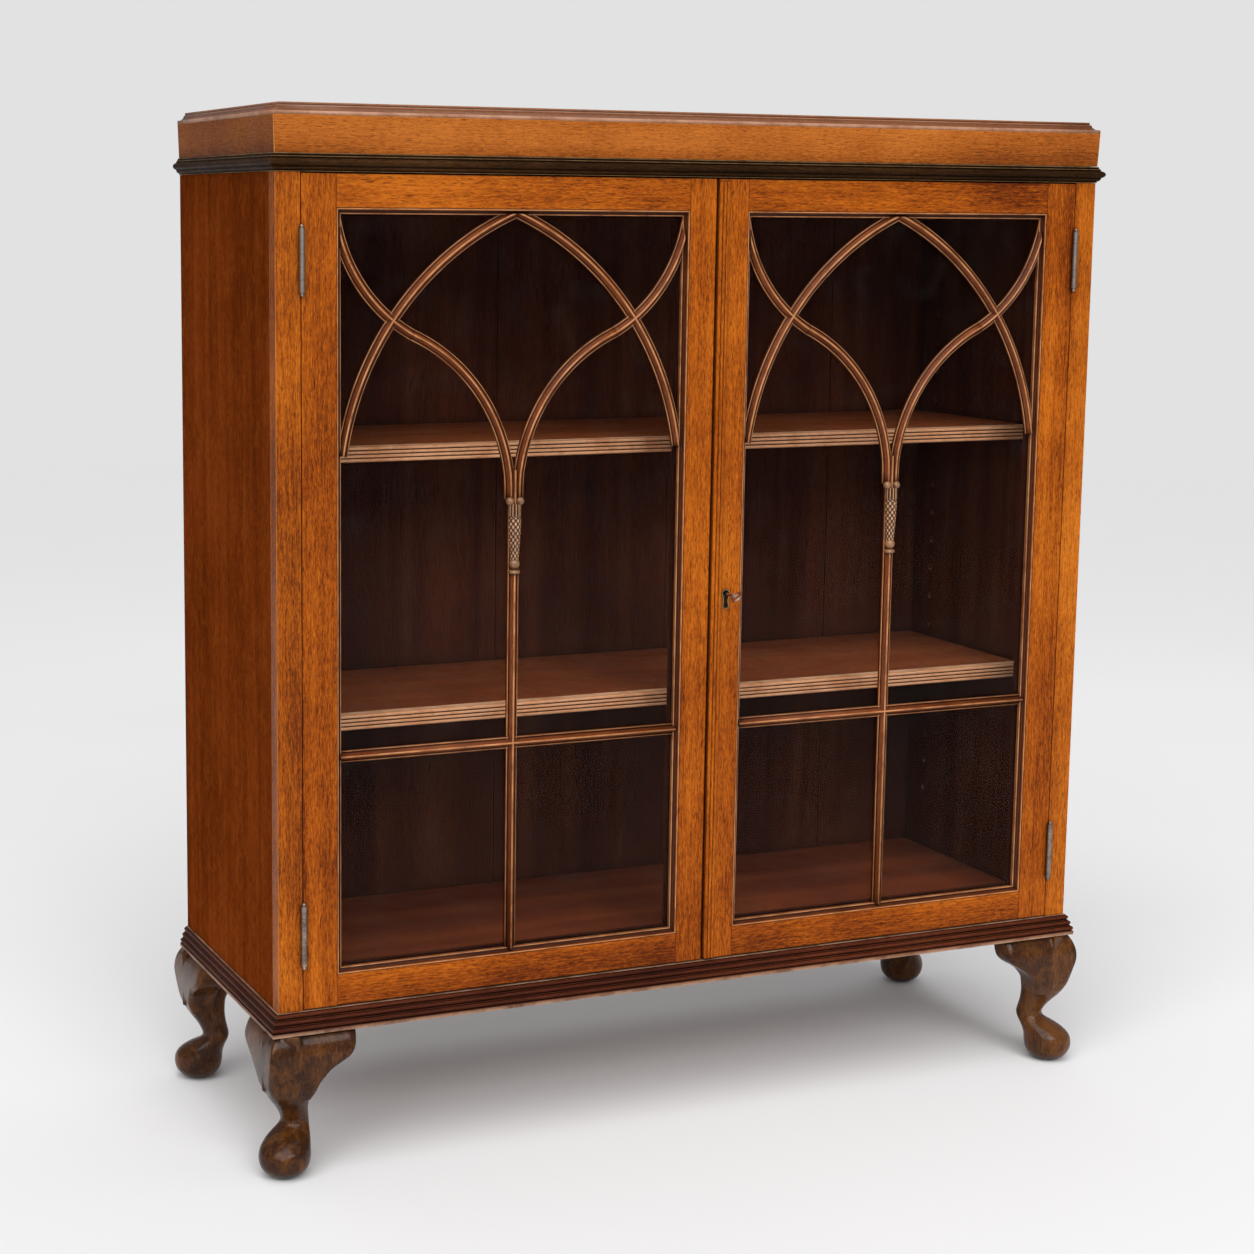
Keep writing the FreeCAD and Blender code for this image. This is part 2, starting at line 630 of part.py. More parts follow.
def key():
    """Key standing in the lock, half turned: bit, stem, collar and a ring for a bow."""
    tip = FRONT + 13.6
    ring_r = 7.5
    end = FRONT - KEY_OUT
    bow_y = end + ring_r

    def at(y):
        return V(LOCK_X, y, LOCK_HEIGHT)
    stem = cylinder(KEY_R, at(bow_y + ring_r - 1.5), at(tip))
    collar = cylinder(2.9, at(bow_y + ring_r - 0.5), at(bow_y + ring_r + 2.5))
    bit = box(LOCK_X - 0.9, LOCK_X + 0.9, FRONT + 9.8, tip, LOCK_HEIGHT - 8.0, LOCK_HEIGHT)
    ring = cylinder(ring_r, at(bow_y) - V(0, 0, 1.2), at(bow_y) + V(0, 0, 1.2))
    ring = ring.cut(cylinder(4.6, at(bow_y) - V(0, 0, 2), at(bow_y) + V(0, 0, 2)))
    whole = fuse([stem, collar, bit, ring])
    return whole.rotate(at(0), V(0, 1, 0), -40)


def door_bolts():
    """Two small bolts on the back of the left meeting stile, one up and one down."""
    x = LEFT_DOOR_FREE_X - 17.0
    y = DOOR_BACK
    depth = 6.0
    plates = []
    holes = []
    rods = {}
    for name, way, edge_z in (("top", 1, DOOR_Z1), ("bottom", -1, DOOR_Z0)):
        z_end = edge_z - way * 1.0
        z_in = edge_z - way * 62.0
        low = min(z_end, z_in)
        high = max(z_end, z_in)
        channel_half = 3.3
        recess = box(x - 8.0, x + 8.0, y - 2.0, y, low, high)
        holes.append(recess)
        groove = box(x - 3.6, x + 3.6, y - 2.0 - depth, y - 2.0, min(edge_z, z_in), max(edge_z, z_in))
        groove = groove.fuse(box(x - 3.6, x + 3.6, y - 2.5, y + 1, min(edge_z, z_end) - 0.1,
                                 max(edge_z, z_end) + 0.1))
        holes.append(groove)
        slot_low = z_in + way * 14.0
        slot_high = z_in + way * 38.0
        slot = box(x - 2.0, x + 2.0, y - 3.0, y + 1.0, min(slot_low, slot_high), max(slot_low, slot_high))
        plates.append(recess.cut(slot))
        rod = box(x - channel_half, x + channel_half, y - 2.3 - 5.2, y - 2.3,
                  min(edge_z - way * 0.5, z_in + way * 2), max(edge_z - way * 0.5, z_in + way * 2))
        knob_z = z_in + way * 20.0
        knob = cylinder(1.6, V(x, y - 3.0, knob_z), V(x, y + 2.0, knob_z))
        button = cylinder(3.4, V(x, y + 0.4, knob_z), V(x, y + 3.2, knob_z))
        rods[name] = fuse([rod, knob, button])
    parts["left_door_bolt_plates"] = group(plates)
    parts["left_door_meeting_stile"] = parts["left_door_meeting_stile"].cut(group(holes))
    parts["left_door_top_bolt"] = rods["top"]
    parts["left_door_bottom_bolt"] = rods["bottom"]
    keepers = []
    for z0, z1 in ((CASE_TOP - 1, CASE_TOP + 12.0), (CASE_Z - 12.0, CASE_Z + 1)):
        keepers.append(box(x - 4.2, x + 4.2, y - 8.6, y - 1.4, z0, z1))
    return group(keepers)


def closing_bead():
    """Triple bead that trims the meeting edge of the right door."""
    out = 4.0
    valley = 2.2
    x0 = RIGHT_DOOR_FREE_X - 0.8
    pitch = 13.4 / 3
    z0 = DOOR_Z0 + 1.0

    def at(x, y):
        return V(x, y, z0)
    steps = []
    for i in range(3):
        left = x0 + i * pitch
        rise = out if i == 1 else out - 0.3
        steps.append((at(left + pitch / 2, FRONT - rise), at(left + pitch, FRONT - valley)))
    steps.append((at(x0 + 3 * pitch, FRONT),))
    steps.append((at(x0, FRONT),))
    wire = outline(at(x0, FRONT - valley), steps)
    return Part.Face(wire).extrude(V(0, 0, DOOR_Z1 - DOOR_Z0 - 4.0))


# ---- build everything ----
def build_case():
    panel = side_panel()
    parts["left_side_panel"] = panel
    parts["right_side_panel"] = flip_x(panel)
    stile = box(-HALF, -HALF + STILE_WIDTH, FRONT, PANEL_FRONT, CASE_Z, CASE_TOP)
    parts["left_front_stile"] = stile
    parts["right_front_stile"] = flip_x(stile)
    parts["case_bottom"] = box(-INNER, INNER, PANEL_FRONT, BACK_FACE, CASE_Z, CASE_Z + BOARD)
    parts["case_sub_top"] = box(-INNER, INNER, PANEL_FRONT, BACK_FACE, CASE_TOP - BOARD, CASE_TOP)
    parts["back_boards"] = back_boards()
    parts["base_mouldings"] = group(mitred_run(base_profile, 20.0))
    parts["cornice_mouldings"] = group(mitred_run(cornice_profile, 20.0))
    parts["frieze_boards"] = frieze_boards()
    parts["top_board"] = top_board()


def build_frames(keepers):
    """Base frame and cornice frame, drilled for the bolts of the left door."""
    base = rail_frame(LEG_TOP, CASE_Z, 60.0)
    cornice = rail_frame(CASE_TOP, FRIEZE_Z, 60.0)
    base[0] = base[0].cut(keepers)
    cornice[0] = cornice[0].cut(keepers)
    parts["base_front_rail"] = base[0]
    parts["base_back_rail"] = base[1]
    parts["base_side_rails"] = group(base[2:])
    parts["cornice_rails"] = group(cornice)


def build_legs():
    leg = front_left_leg()
    ear = front_left_ear()
    ears = [ear.cut(leg), swap_ear(ear).cut(leg)]
    block = box(-HALF + 55.0, -HALF + 90.0, FRONT + 55.0, FRONT + 90.0, LEG_TOP - 24.0, LEG_TOP)
    names = (("front_left", lambda s: s), ("front_right", flip_x), ("back_left", flip_y),
             ("back_right", lambda s: flip_x(flip_y(s))))
    wings = {"front": [], "back": []}
    blocks = []
    for name, place in names:
        parts[name + "_leg"] = place(leg)
        wings[name.split("_")[0]] += [place(e) for e in ears]
        blocks.append(place(block))
    parts["front_leg_ears"] = group(wings["front"])
    parts["back_leg_ears"] = group(wings["back"])
    parts["leg_glue_blocks"] = group(blocks)


def build_shelves():
    for name, row in (("lower", LOWER_SHELF_ROW), ("upper", UPPER_SHELF_ROW)):
        board, edge = shelf(row)
        parts[name + "_shelf_board"] = board
        parts[name + "_shelf_edge"] = edge
        parts[name + "_shelf_pegs"] = shelf_pegs(row)


build_case()
build_door("left", -HINGE_EDGE, LEFT_DOOR_FREE_X, LEFT_MEETING_STILE)
build_door("right", HINGE_EDGE, RIGHT_DOOR_FREE_X, RIGHT_MEETING_STILE)
hang_doors()
lock_and_key()
build_frames(door_bolts())
parts["right_door_closing_bead"] = closing_bead()
build_legs()
build_shelves()

os.makedirs("parts", exist_ok=True)
for node, solid in sorted(parts.items()):
    solid.exportStep("parts/" + node + ".step")
    print(node, len(solid.Solids), solid.isValid(), round(solid.Volume / 1000, 1))
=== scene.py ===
import math

import bmesh
import bpy
from mathutils import Matrix, Vector


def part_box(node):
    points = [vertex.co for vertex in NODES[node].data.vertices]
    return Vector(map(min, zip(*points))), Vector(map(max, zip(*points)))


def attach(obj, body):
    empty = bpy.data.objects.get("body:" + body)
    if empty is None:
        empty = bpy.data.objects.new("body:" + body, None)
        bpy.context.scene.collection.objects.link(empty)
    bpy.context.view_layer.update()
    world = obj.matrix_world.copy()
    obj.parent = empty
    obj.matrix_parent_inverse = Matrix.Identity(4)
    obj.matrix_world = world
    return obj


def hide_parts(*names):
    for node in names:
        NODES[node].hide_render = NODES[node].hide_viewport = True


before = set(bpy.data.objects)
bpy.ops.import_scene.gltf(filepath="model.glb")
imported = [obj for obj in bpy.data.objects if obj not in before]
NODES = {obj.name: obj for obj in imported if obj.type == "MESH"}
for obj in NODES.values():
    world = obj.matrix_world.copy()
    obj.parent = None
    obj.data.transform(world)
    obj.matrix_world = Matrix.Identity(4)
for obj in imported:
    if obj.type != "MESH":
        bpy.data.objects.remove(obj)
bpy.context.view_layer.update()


def corners(node):
    """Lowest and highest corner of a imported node."""
    low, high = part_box(node)
    return Vector(low), Vector(high)


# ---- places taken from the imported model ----
side_low, side_high = corners("left_side_panel")
HALF = -side_low.x
FRONT = corners("left_front_stile")[0].y
BACK = side_high.y
MIDDLE_Y = (FRONT + BACK) / 2
CASE_Z = side_low.z
CASE_TOP = side_high.z
LEG_TOP = corners("base_mouldings")[0].z
FRIEZE_Z = corners("frieze_boards")[0].z
TOP_Z = corners("top_board")[0].z
TOP = corners("top_board")[1].z
GLASS_Y = corners("left_door_glass")[0].y
INNER = corners("case_bottom")[1].x
BACK_FACE = corners("case_bottom")[1].y
MM = 0.001


# ---- node helpers ----
class Graph:
    """Node tree of one material, with short calls for the nodes used here."""

    def __init__(self, name):
        self.material = bpy.data.materials.new(name)
        self.material.use_nodes = True
        self.tree = self.material.node_tree
        self.tree.nodes.clear()
        self.output = self.tree.nodes.new("ShaderNodeOutputMaterial")
        self.coords = self.tree.nodes.new("ShaderNodeTexCoord").outputs["Object"]
        self.parts = self.node("SeparateXYZ", {0: self.coords}).outputs

    def node(self, kind, sockets=None, **settings):
        made = self.tree.nodes.new("ShaderNode" + kind)
        for key, value in settings.items():
            setattr(made, key, value)
        for key, value in (sockets or {}).items():
            if isinstance(value, bpy.types.NodeSocket):
                self.tree.links.new(value, made.inputs[key])
            else:
                made.inputs[key].default_value = value
        return made

    def math(self, operation, a, b=0.0, c=0.0, clamp=False):
        return self.node("Math", {0: a, 1: b, 2: c}, operation=operation, use_clamp=clamp).outputs[0]

    def remap(self, value, low, high, to_low=0.0, to_high=1.0):
        sockets = {"Value": value, "From Min": low, "From Max": high, "To Min": to_low,
                   "To Max": to_high}
        return self.node("MapRange", sockets).outputs[0]

    def noise(self, vector, scale, detail=2.0, rough=0.5, distortion=0.0):
        sockets = {"Vector": vector, "Scale": scale, "Detail": detail, "Roughness": rough,
                   "Distortion": distortion}
        return self.node("TexNoise", sockets).outputs["Fac"]

    def ramp(self, value, stops):
        made = self.node("ValToRGB", {"Fac": value})
        points = made.color_ramp.elements
        while len(points) < len(stops):
            points.new(0.5)
        for point, (place, colour) in zip(points, stops):
            point.position = place
            point.color = (*colour, 1.0)
        return made.outputs["Color"]

    def mix(self, factor, a, b, blend="MIX"):
        made = self.node("Mix", data_type="RGBA", blend_type=blend, clamp_factor=True)
        for index, value in ((0, factor), (6, a), (7, b)):
            if isinstance(value, bpy.types.NodeSocket):
                self.tree.links.new(value, made.inputs[index])
            elif index == 0:
                made.inputs[index].default_value = value
            else:
                made.inputs[index].default_value = (*value, 1.0)
        return made.outputs[2]

    def scaled(self, factors):
        return self.node("VectorMath", {0: self.coords, 1: factors}, operation="MULTIPLY").outputs[0]

    def grain_vector(self, grain, stretch):
        """Coordinates squeezed along the grain by stretch. Grain "run" follows a mitred moulding."""
        if grain == "X":
            return self.scaled((stretch, 1.0, 1.0))
        if grain == "Z":
            return self.scaled((1.0, 1.0, stretch))
        along = self.math("ADD", self.parts[0], self.parts[1])
        along = self.math("MULTIPLY", along, stretch)
        return self.node("CombineXYZ", {0: along, 1: 0.0, 2: self.parts[2]}).outputs[0]

    def finish(self, shader):
        self.tree.links.new(shader, self.output.inputs["Surface"])
        return self.material


# ---- woods ----
TONE_STOPS = (0.12, 0.5, 0.88)


def wood(name, tones, grain="Z", ribbon=0.5, ribbon_scale=22.0, streak=0.5, pores=0.6, patches=0.0,
         patch_tone=(0.3, 0.16, 0.03), crevice_shade=0.6, arris_colour=None, gloss=0.36, coat=0.0, bump=0.25, sheen=0.06,
         side_shade=1.0, corner_arris_colour=None, inside=None, behind=None, dense=False):
    """Polished timber: dark, middle and light tones, figure along the grain, pores, painted shade in
    corners and crevices.

    arris_colour is the colour of arrises and ridges: a dark seam line on the door and case-front boards,
    wear and painted highlight on other pieces; corner_arris_colour is its colour at the case's outer
    corners.
    inside and behind are the tones of faces towards the shelves and at the back.  A dense piece takes
    its ridges and hollows from its own crest values, and any other from a rounded normal.
    """
    g = Graph(name)
    long_coarse = g.grain_vector(grain, 0.035)
    long_fine = g.grain_vector(grain, 0.045)
    flecks = g.grain_vector(grain, 0.15)
    broad = g.noise(long_coarse, ribbon_scale, 2.0, 0.5, 0.6)
    broad = g.remap(broad, 0.3, 0.7, -1.0, 1.0)
    fine = g.remap(g.noise(long_fine, 520.0, 4.0, 0.75, 0.2), 0.3, 0.7, -1.0, 1.0)
    mottle = g.remap(g.noise(flecks, 820.0, 3.0, 0.8), 0.32, 0.68, -1.0, 1.0)
    cloud = g.remap(g.noise(g.coords, 5.0, 3.0, 0.55), 0.3, 0.7, -1.0, 1.0)
    value = g.math("MULTIPLY_ADD", broad, ribbon * 0.42, 0.5)
    value = g.math("MULTIPLY_ADD", fine, streak * 0.42, value)
    value = g.math("MULTIPLY_ADD", mottle, streak * 0.50, value)
    value = g.math("MULTIPLY_ADD", cloud, 0.20, value)
    colour = g.ramp(value, list(zip(TONE_STOPS, tones)))
    if patches:
        spots = g.noise(g.scaled((1.0, 1.0, 0.7)), 62.0, 5.0, 0.68, 0.5)
        spots = g.remap(spots, 0.48, 0.68, 0.0, patches)
        colour = g.mix(spots, colour, patch_tone)
    rough_skin = g.noise(flecks, 620.0, 2.0, 0.6)
    pore = g.remap(rough_skin, 0.56, 0.70)
    short = g.remap(g.noise(flecks, 1300.0, 1.0, 0.5), 0.60, 0.74)
    pore = g.math("MAXIMUM", pore, g.math("MULTIPLY", short, 0.6))
    dark = tuple(c * 0.28 for c in tones[0])
    colour = g.mix(g.math("MULTIPLY", pore, pores), colour, dark)
    # Painted shade: faces on the case sides are darkened by this factor.
    if side_shade != 1.0:
        flank = g.remap(g.math("ABSOLUTE", g.parts[0]), HALF + 0.0004, HALF + 0.0008)
        colour = g.mix(flank, colour, g.mix(1.0, colour, (side_shade,) * 3, "MULTIPLY"))
    if inside:
        hidden = g.remap(g.math("ABSOLUTE", g.parts[0]), INNER + 0.002, INNER + 0.001)
        inner = g.ramp(value, list(zip(TONE_STOPS, inside)))
        colour = g.mix(hidden, colour, g.mix(g.math("MULTIPLY", pore, 0.5), inner, dark))
    if behind:
        hidden = g.remap(g.parts[1], BACK_FACE + 0.009, BACK_FACE + 0.010)
        raw = g.ramp(value, list(zip(TONE_STOPS, behind)))
        colour = g.mix(hidden, colour, raw)
    # Arrises and ridges take the arris colour: a dark seam line on the door and case-front boards, wear
    # and painted highlight elsewhere.
    if arris_colour:
        if dense:
            shape = g.node("Attribute", attribute_name="crest").outputs["Fac"]
            crest = g.remap(shape, 0.30, 1.0, 0.0, 0.9)
            # Painted shade: hollows of a dense piece darken towards the dark tone.
            hollow = g.remap(shape, 0.0, -0.55, 0.0, 0.92)
            colour = g.mix(hollow, colour, tuple(c * 0.16 for c in tones[0]))
        else:
            rounded = g.node("Bevel", {"Radius": 0.0011}, samples=4).outputs[0]
            normal = g.node("NewGeometry").outputs["Normal"]
            turn = g.node("VectorMath", {0: rounded, 1: normal}, operation="DOT_PRODUCT")
            turn = turn.outputs["Value"]
            crest = g.remap(turn, 0.995, 0.90)
        if corner_arris_colour:
            outer = g.remap(g.math("ABSOLUTE", g.parts[0]), HALF - 0.0045, HALF - 0.0035)
            arris_colour = g.mix(outer, arris_colour, corner_arris_colour)
        arris_patches = g.remap(g.noise(g.coords, 34.0, 3.0, 0.7), 0.34, 0.60, 0.30, 1.0)
        colour = g.mix(g.math("MULTIPLY", crest, arris_patches), colour, arris_colour)
    # Painted shade: ambient occlusion darkens corners, crevices and joins between parts towards the dark
    # tone.
    if crevice_shade:
        corner = g.node("AmbientOcclusion", {"Distance": 0.012}, samples=6).outputs["AO"]
        crevice_shade_mask = g.remap(corner, 0.35, 0.95, crevice_shade, 0.0)
        colour = g.mix(crevice_shade_mask, colour, tuple(c * 0.10 for c in tones[0]))
    smears = g.noise(g.coords, 17.0, 4.0, 0.6)
    roughness = g.remap(smears, 0.3, 0.7, gloss - 0.06, gloss + 0.09)
    roughness = g.math("MULTIPLY_ADD", pore, 0.18, roughness)
    height = g.math("MULTIPLY_ADD", pore, -0.8, g.math("MULTIPLY", fine, 0.35))
    lumps = g.noise(g.coords, 28.0, 2.0, 0.5)
    height = g.math("MULTIPLY_ADD", lumps, 1.2, height)
    normal = g.node("Bump", {"Strength": bump, "Distance": 0.0004, "Height": height}).outputs[0]
    shader = g.node("BsdfPrincipled", {"Base Color": colour, "Roughness": roughness, "Normal": normal,
                                       "IOR": 1.5, "Specular IOR Level": sheen, "Coat Weight": coat,
                                       "Coat Roughness": 0.16, "Coat IOR": 1.5})
    return g.finish(shader.outputs[0])


# dark, middle and light tones of each wood, and the colours given to arrises and ridges: wear and
# painted highlight, and a dark seam line
FRONT_TONES = ((0.090, 0.015, 0.0020), (0.300, 0.063, 0.0038), (0.500, 0.132, 0.009))
FRIEZE_TONES = ((0.120, 0.027, 0.004), (0.310, 0.080, 0.010), (0.460, 0.138, 0.021))
EDGE_TONES = ((0.120, 0.034, 0.010), (0.190, 0.058, 0.016), (0.270, 0.092, 0.028))
SIDE_TONES = ((0.088, 0.0150, 0.0022), (0.142, 0.0260, 0.0038), (0.215, 0.0440, 0.0070))
MOULDING_TONES = ((0.034, 0.0075, 0.0035), (0.066, 0.0150, 0.0060), (0.110, 0.0280, 0.0105))
CORNICE_TONES = ((0.010, 0.0042, 0.0015), (0.025, 0.0105, 0.0036), (0.062, 0.0270, 0.0090))
BAR_TONES = ((0.080, 0.0165, 0.0045), (0.155, 0.0360, 0.0085), (0.245, 0.0700, 0.0190))
LEG_TONES = ((0.016, 0.0060, 0.0025), (0.046, 0.0150, 0.0048), (0.115, 0.042, 0.010))
CARVED_TONES = ((0.050, 0.013, 0.004), (0.110, 0.031, 0.008), (0.200, 0.066, 0.018))
INSIDE_TONES = ((0.030, 0.0068, 0.0042), (0.053, 0.0125, 0.0064), (0.084, 0.0220, 0.0095))
FLOOR_TONES = ((0.085, 0.016, 0.006), (0.140, 0.030, 0.010), (0.210, 0.050, 0.016))
SHELF_TONES = ((0.125, 0.026, 0.008), (0.196, 0.045, 0.013), (0.280, 0.074, 0.021))
# Lighter than the shelf board: partly the lip's own paler colour, partly painted highlight.
LIP_TONES = ((0.260, 0.085, 0.032), (0.420, 0.150, 0.060), (0.600, 0.250, 0.115))
RAW_TONES = ((0.150, 0.075, 0.030), (0.235, 0.130, 0.058), (0.330, 0.200, 0.100))
# Pale arris colour of the front: wear and painted highlight.
WEAR_AND_HIGHLIGHT_FRONT = (0.58, 0.25, 0.075)
SEAM = (0.085, 0.018, 0.005)
CORNER_TONES = ((0.120, 0.022, 0.003), (0.345, 0.080, 0.0050), (0.540, 0.155, 0.013))
# Pale ridge colour of the glazing bars: wear and painted highlight.
WEAR_AND_HIGHLIGHT_BAR = (0.54, 0.240, 0.098)

WOODS = {
    "mahogany_upright": wood("mahogany_upright", FRONT_TONES, arris_colour=SEAM),
    "mahogany_corner": wood("mahogany_corner", CORNER_TONES, arris_colour=SEAM, corner_arris_colour=WEAR_AND_HIGHLIGHT_FRONT),
    "mahogany_level": wood("mahogany_level", FRONT_TONES, grain="X", arris_colour=SEAM),
    "mahogany_frieze": wood("mahogany_frieze", FRIEZE_TONES, grain="run", arris_colour=WEAR_AND_HIGHLIGHT_FRONT,
                            side_shade=0.62),
    "mahogany_top": wood("mahogany_top", FRIEZE_TONES, grain="X", ribbon_scale=14.0,
                         arris_colour=(0.55, 0.30, 0.17), gloss=0.34, sheen=0.2),
    "top_edge": wood("top_edge", EDGE_TONES, grain="run", arris_colour=(0.46, 0.24, 0.15), dense=True, pores=0.4,
                     coat=0.15, sheen=0.3),
    "mahogany_side": wood("mahogany_side", SIDE_TONES, ribbon=0.55, ribbon_scale=34.0, patches=0.35,
                          patch_tone=(0.260, 0.062, 0.008), arris_colour=(0.36, 0.12, 0.04),
                          inside=INSIDE_TONES, sheen=0.0),
    "moulding_dark": wood("moulding_dark", MOULDING_TONES, grain="run", arris_colour=(0.50, 0.30, 0.19),
                          dense=True, pores=0.4, sheen=0.05),
    "cornice_dark": wood("cornice_dark", CORNICE_TONES, grain="run", arris_colour=(0.46, 0.28, 0.12),
                         dense=True, pores=0.4, sheen=0.02),
    "bar_wood": wood("bar_wood", BAR_TONES, arris_colour=WEAR_AND_HIGHLIGHT_BAR, dense=True, pores=0.3, crevice_shade=0.75, sheen=0.12,
                     coat=0.06),
    "carved_wood": wood("carved_wood", CARVED_TONES, arris_colour=(0.62, 0.34, 0.15), dense=True, pores=0.2,
                        crevice_shade=0.5, sheen=0.4, coat=0.4, gloss=0.26),
    "leg_walnut": wood("leg_walnut", LEG_TONES, patches=0.5, patch_tone=(0.170, 0.060, 0.011),
                       gloss=0.22, coat=0.28, pores=0.35, sheen=0.05),
    "inside_upright": wood("inside_upright", INSIDE_TONES, gloss=0.5, behind=RAW_TONES,
                           ribbon=0.7, sheen=0.02),
    "inside_level": wood("inside_level", FLOOR_TONES, grain="X", gloss=0.45, sheen=0.03),
    "shelf_wood": wood("shelf_wood", SHELF_TONES, grain="X", arris_colour=(0.40, 0.16, 0.07), sheen=0.05),
    "shelf_lip": wood("shelf_lip", LIP_TONES, grain="X", arris_colour=(0.85, 0.50, 0.31), dense=True),
    "raw_level": wood("raw_level", RAW_TONES, grain="X", gloss=0.7, bump=0.6),
    "raw_upright": wood("raw_upright", RAW_TONES, gloss=0.7, bump=0.6),
}


# ---- metals and glass ----
def metal(name, dark, light, roughness, patch_scale=60.0, spots=0.3):
    """Aged metal: tarnish in patches, fine scratches and dull spots."""
    g = Graph(name)
    patch = g.remap(g.noise(g.coords, patch_scale, 4.0, 0.65, 0.4), 0.32, 0.68)
    brushed = g.noise(g.scaled((1.0, 1.0, 0.08)), 900.0, 3.0, 0.6)
    pits = g.remap(g.noise(g.coords, 700.0, 2.0, 0.5), 0.60, 0.72, 0.0, spots)
    colour = g.mix(patch, dark, light)
    colour = g.mix(pits, colour, tuple(c * 0.3 for c in dark))
    # Painted shade: darker where other surfaces lie within 4 mm.
    corner = g.node("AmbientOcclusion", {"Distance": 0.004}, samples=6).outputs["AO"]
    colour = g.mix(g.remap(corner, 0.3, 0.9, 0.8, 0.0), colour, (0.02, 0.014, 0.010))
    rough = g.remap(patch, 0.0, 1.0, roughness + 0.16, roughness - 0.06)
    height = g.math("MULTIPLY_ADD", pits, -1.0, brushed)
    normal = g.node("Bump", {"Strength": 0.25, "Distance": 0.0002, "Height": height}).outputs[0]
    shader = g.node("BsdfPrincipled", {"Base Color": colour, "Metallic": 1.0, "Roughness": rough,
                                       "Normal": normal})
    return g.finish(shader.outputs[0])


def glass():
    """Old window glass: clear, with a faint tint and a little dust."""
    g = Graph("pane_glass")
    tint = g.ramp(g.noise(g.coords, 3.0, 2.0, 0.5),
                  [(0.3, (0.955, 0.975, 0.965)), (0.7, (0.985, 0.99, 0.985))])
    shader = g.node("BsdfPrincipled", {"Base Color": tint, "Roughness": 0.0, "IOR": 1.10,
                                       "Transmission Weight": 1.0})
    dust = g.node("BsdfDiffuse", {"Color": (0.55, 0.52, 0.48, 1.0)})
    specks = g.remap(g.noise(g.coords, 30.0, 5.0, 0.7), 0.50, 0.80, 0.0, 0.006)
    dusty = g.node("MixShader", {0: specks, 1: shader.outputs[0], 2: dust.outputs[0]})
    clear = g.node("BsdfTransparent", {"Color": (0.95, 0.97, 0.96, 1.0)})
    path = g.node("LightPath")
    passing = g.math("MAXIMUM", path.outputs["Is Shadow Ray"], path.outputs["Is Diffuse Ray"])
    both = g.node("MixShader", {0: passing, 1: dusty.outputs[0], 2: clear.outputs[0]})
    return g.finish(both.outputs[0])


BRONZE = metal("hinge_bronze", (0.15, 0.115, 0.095), (0.42, 0.36, 0.32), 0.36)
BRASS = metal("old_brass", (0.24, 0.15, 0.07), (0.50, 0.35, 0.18), 0.34)
COPPER_STEEL = metal("key_steel", (0.22, 0.12, 0.09), (0.62, 0.50, 0.43), 0.26, 180.0)
LOCK_STEEL = metal("lock_steel", (0.22, 0.21, 0.20), (0.42, 0.41, 0.39), 0.38)
GLASS = glass()


# ---- mesh helpers ----
def place(name, points, faces, material, body, slot, replaced=(), crest=None):
    """New piece from points and faces in metres, riding on a body and standing for CAD nodes.

    crest is a value for each point, up to 1 where the surface is a ridge and down to -1 in a hollow.
    """
    mesh = bpy.data.meshes.new(name)
    mesh.from_pydata(points, [], faces)
    mesh.update()
    if crest:
        mesh.attributes.new("crest", "FLOAT", "POINT").data.foreach_set("value", crest)
    bm = bmesh.new()
    bm.from_mesh(mesh)
    bmesh.ops.recalc_face_normals(bm, faces=bm.faces)
    bm.to_mesh(mesh)
    bm.free()
    mesh.polygons.foreach_set("use_smooth", [True] * len(mesh.polygons))
    piece = bpy.data.objects.new(name, mesh)
    bpy.context.scene.collection.objects.link(piece)
    piece.data.materials.append(material)
    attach(piece, body)
    if replaced:
        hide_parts(*replaced)
    return piece


def tube(rings, closed=False):
    """Faces between equal rings of points, capped at both ends unless closed on itself."""
    count = len(rings[0])
    points = [p for ring in rings for p in ring]
    faces = []
    total = len(rings)
    for i in range(total if closed else total - 1):
        here = i * count
        there = ((i + 1) % total) * count
        for k in range(count):
            j = (k + 1) % count
            faces.append((here + k, here + j, there + j, there + k))
    if not closed:
        faces.append(tuple(range(count - 1, -1, -1)))
        last = (total - 1) * count
        faces.append(tuple(range(last, last + count)))
    return points, faces


def joined(bodies):
    """One list of points and faces from several."""
    points, faces = [], []
    for more_points, more_faces in bodies:
        base = len(points)
        points += more_points
        faces += [tuple(base + i for i in face) for face in more_faces]
    return points, faces


def arc(x0, y0, x1, y1, bulge, steps=6):
    """Points from one end to the other along an arc whose middle stands off by bulge."""
    length = math.hypot(x1 - x0, y1 - y0)
    nx, ny = -(y1 - y0) / length, (x1 - x0) / length
    out = []
    for i in range(steps + 1):
        t = i / steps
        parabola = bulge * 4 * t * (1 - t)
        ellipse = math.copysign(abs(bulge) * math.sqrt(max(0.0, 1 - (2 * t - 1) ** 2)), bulge)
        lift = ellipse * 0.5 + parabola * 0.5
        out.append((x0 + (x1 - x0) * t + nx * lift, y0 + (y1 - y0) * t + ny * lift))
    return out


def tidy(points, gap=0.00005):
    """Drops points that repeat the one before."""
    out = []
    for p in points:
        if not out or math.dist(p, out[-1]) > gap:
            out.append(p)
    if math.dist(out[0], out[-1]) < gap:
        out.pop()
    return out


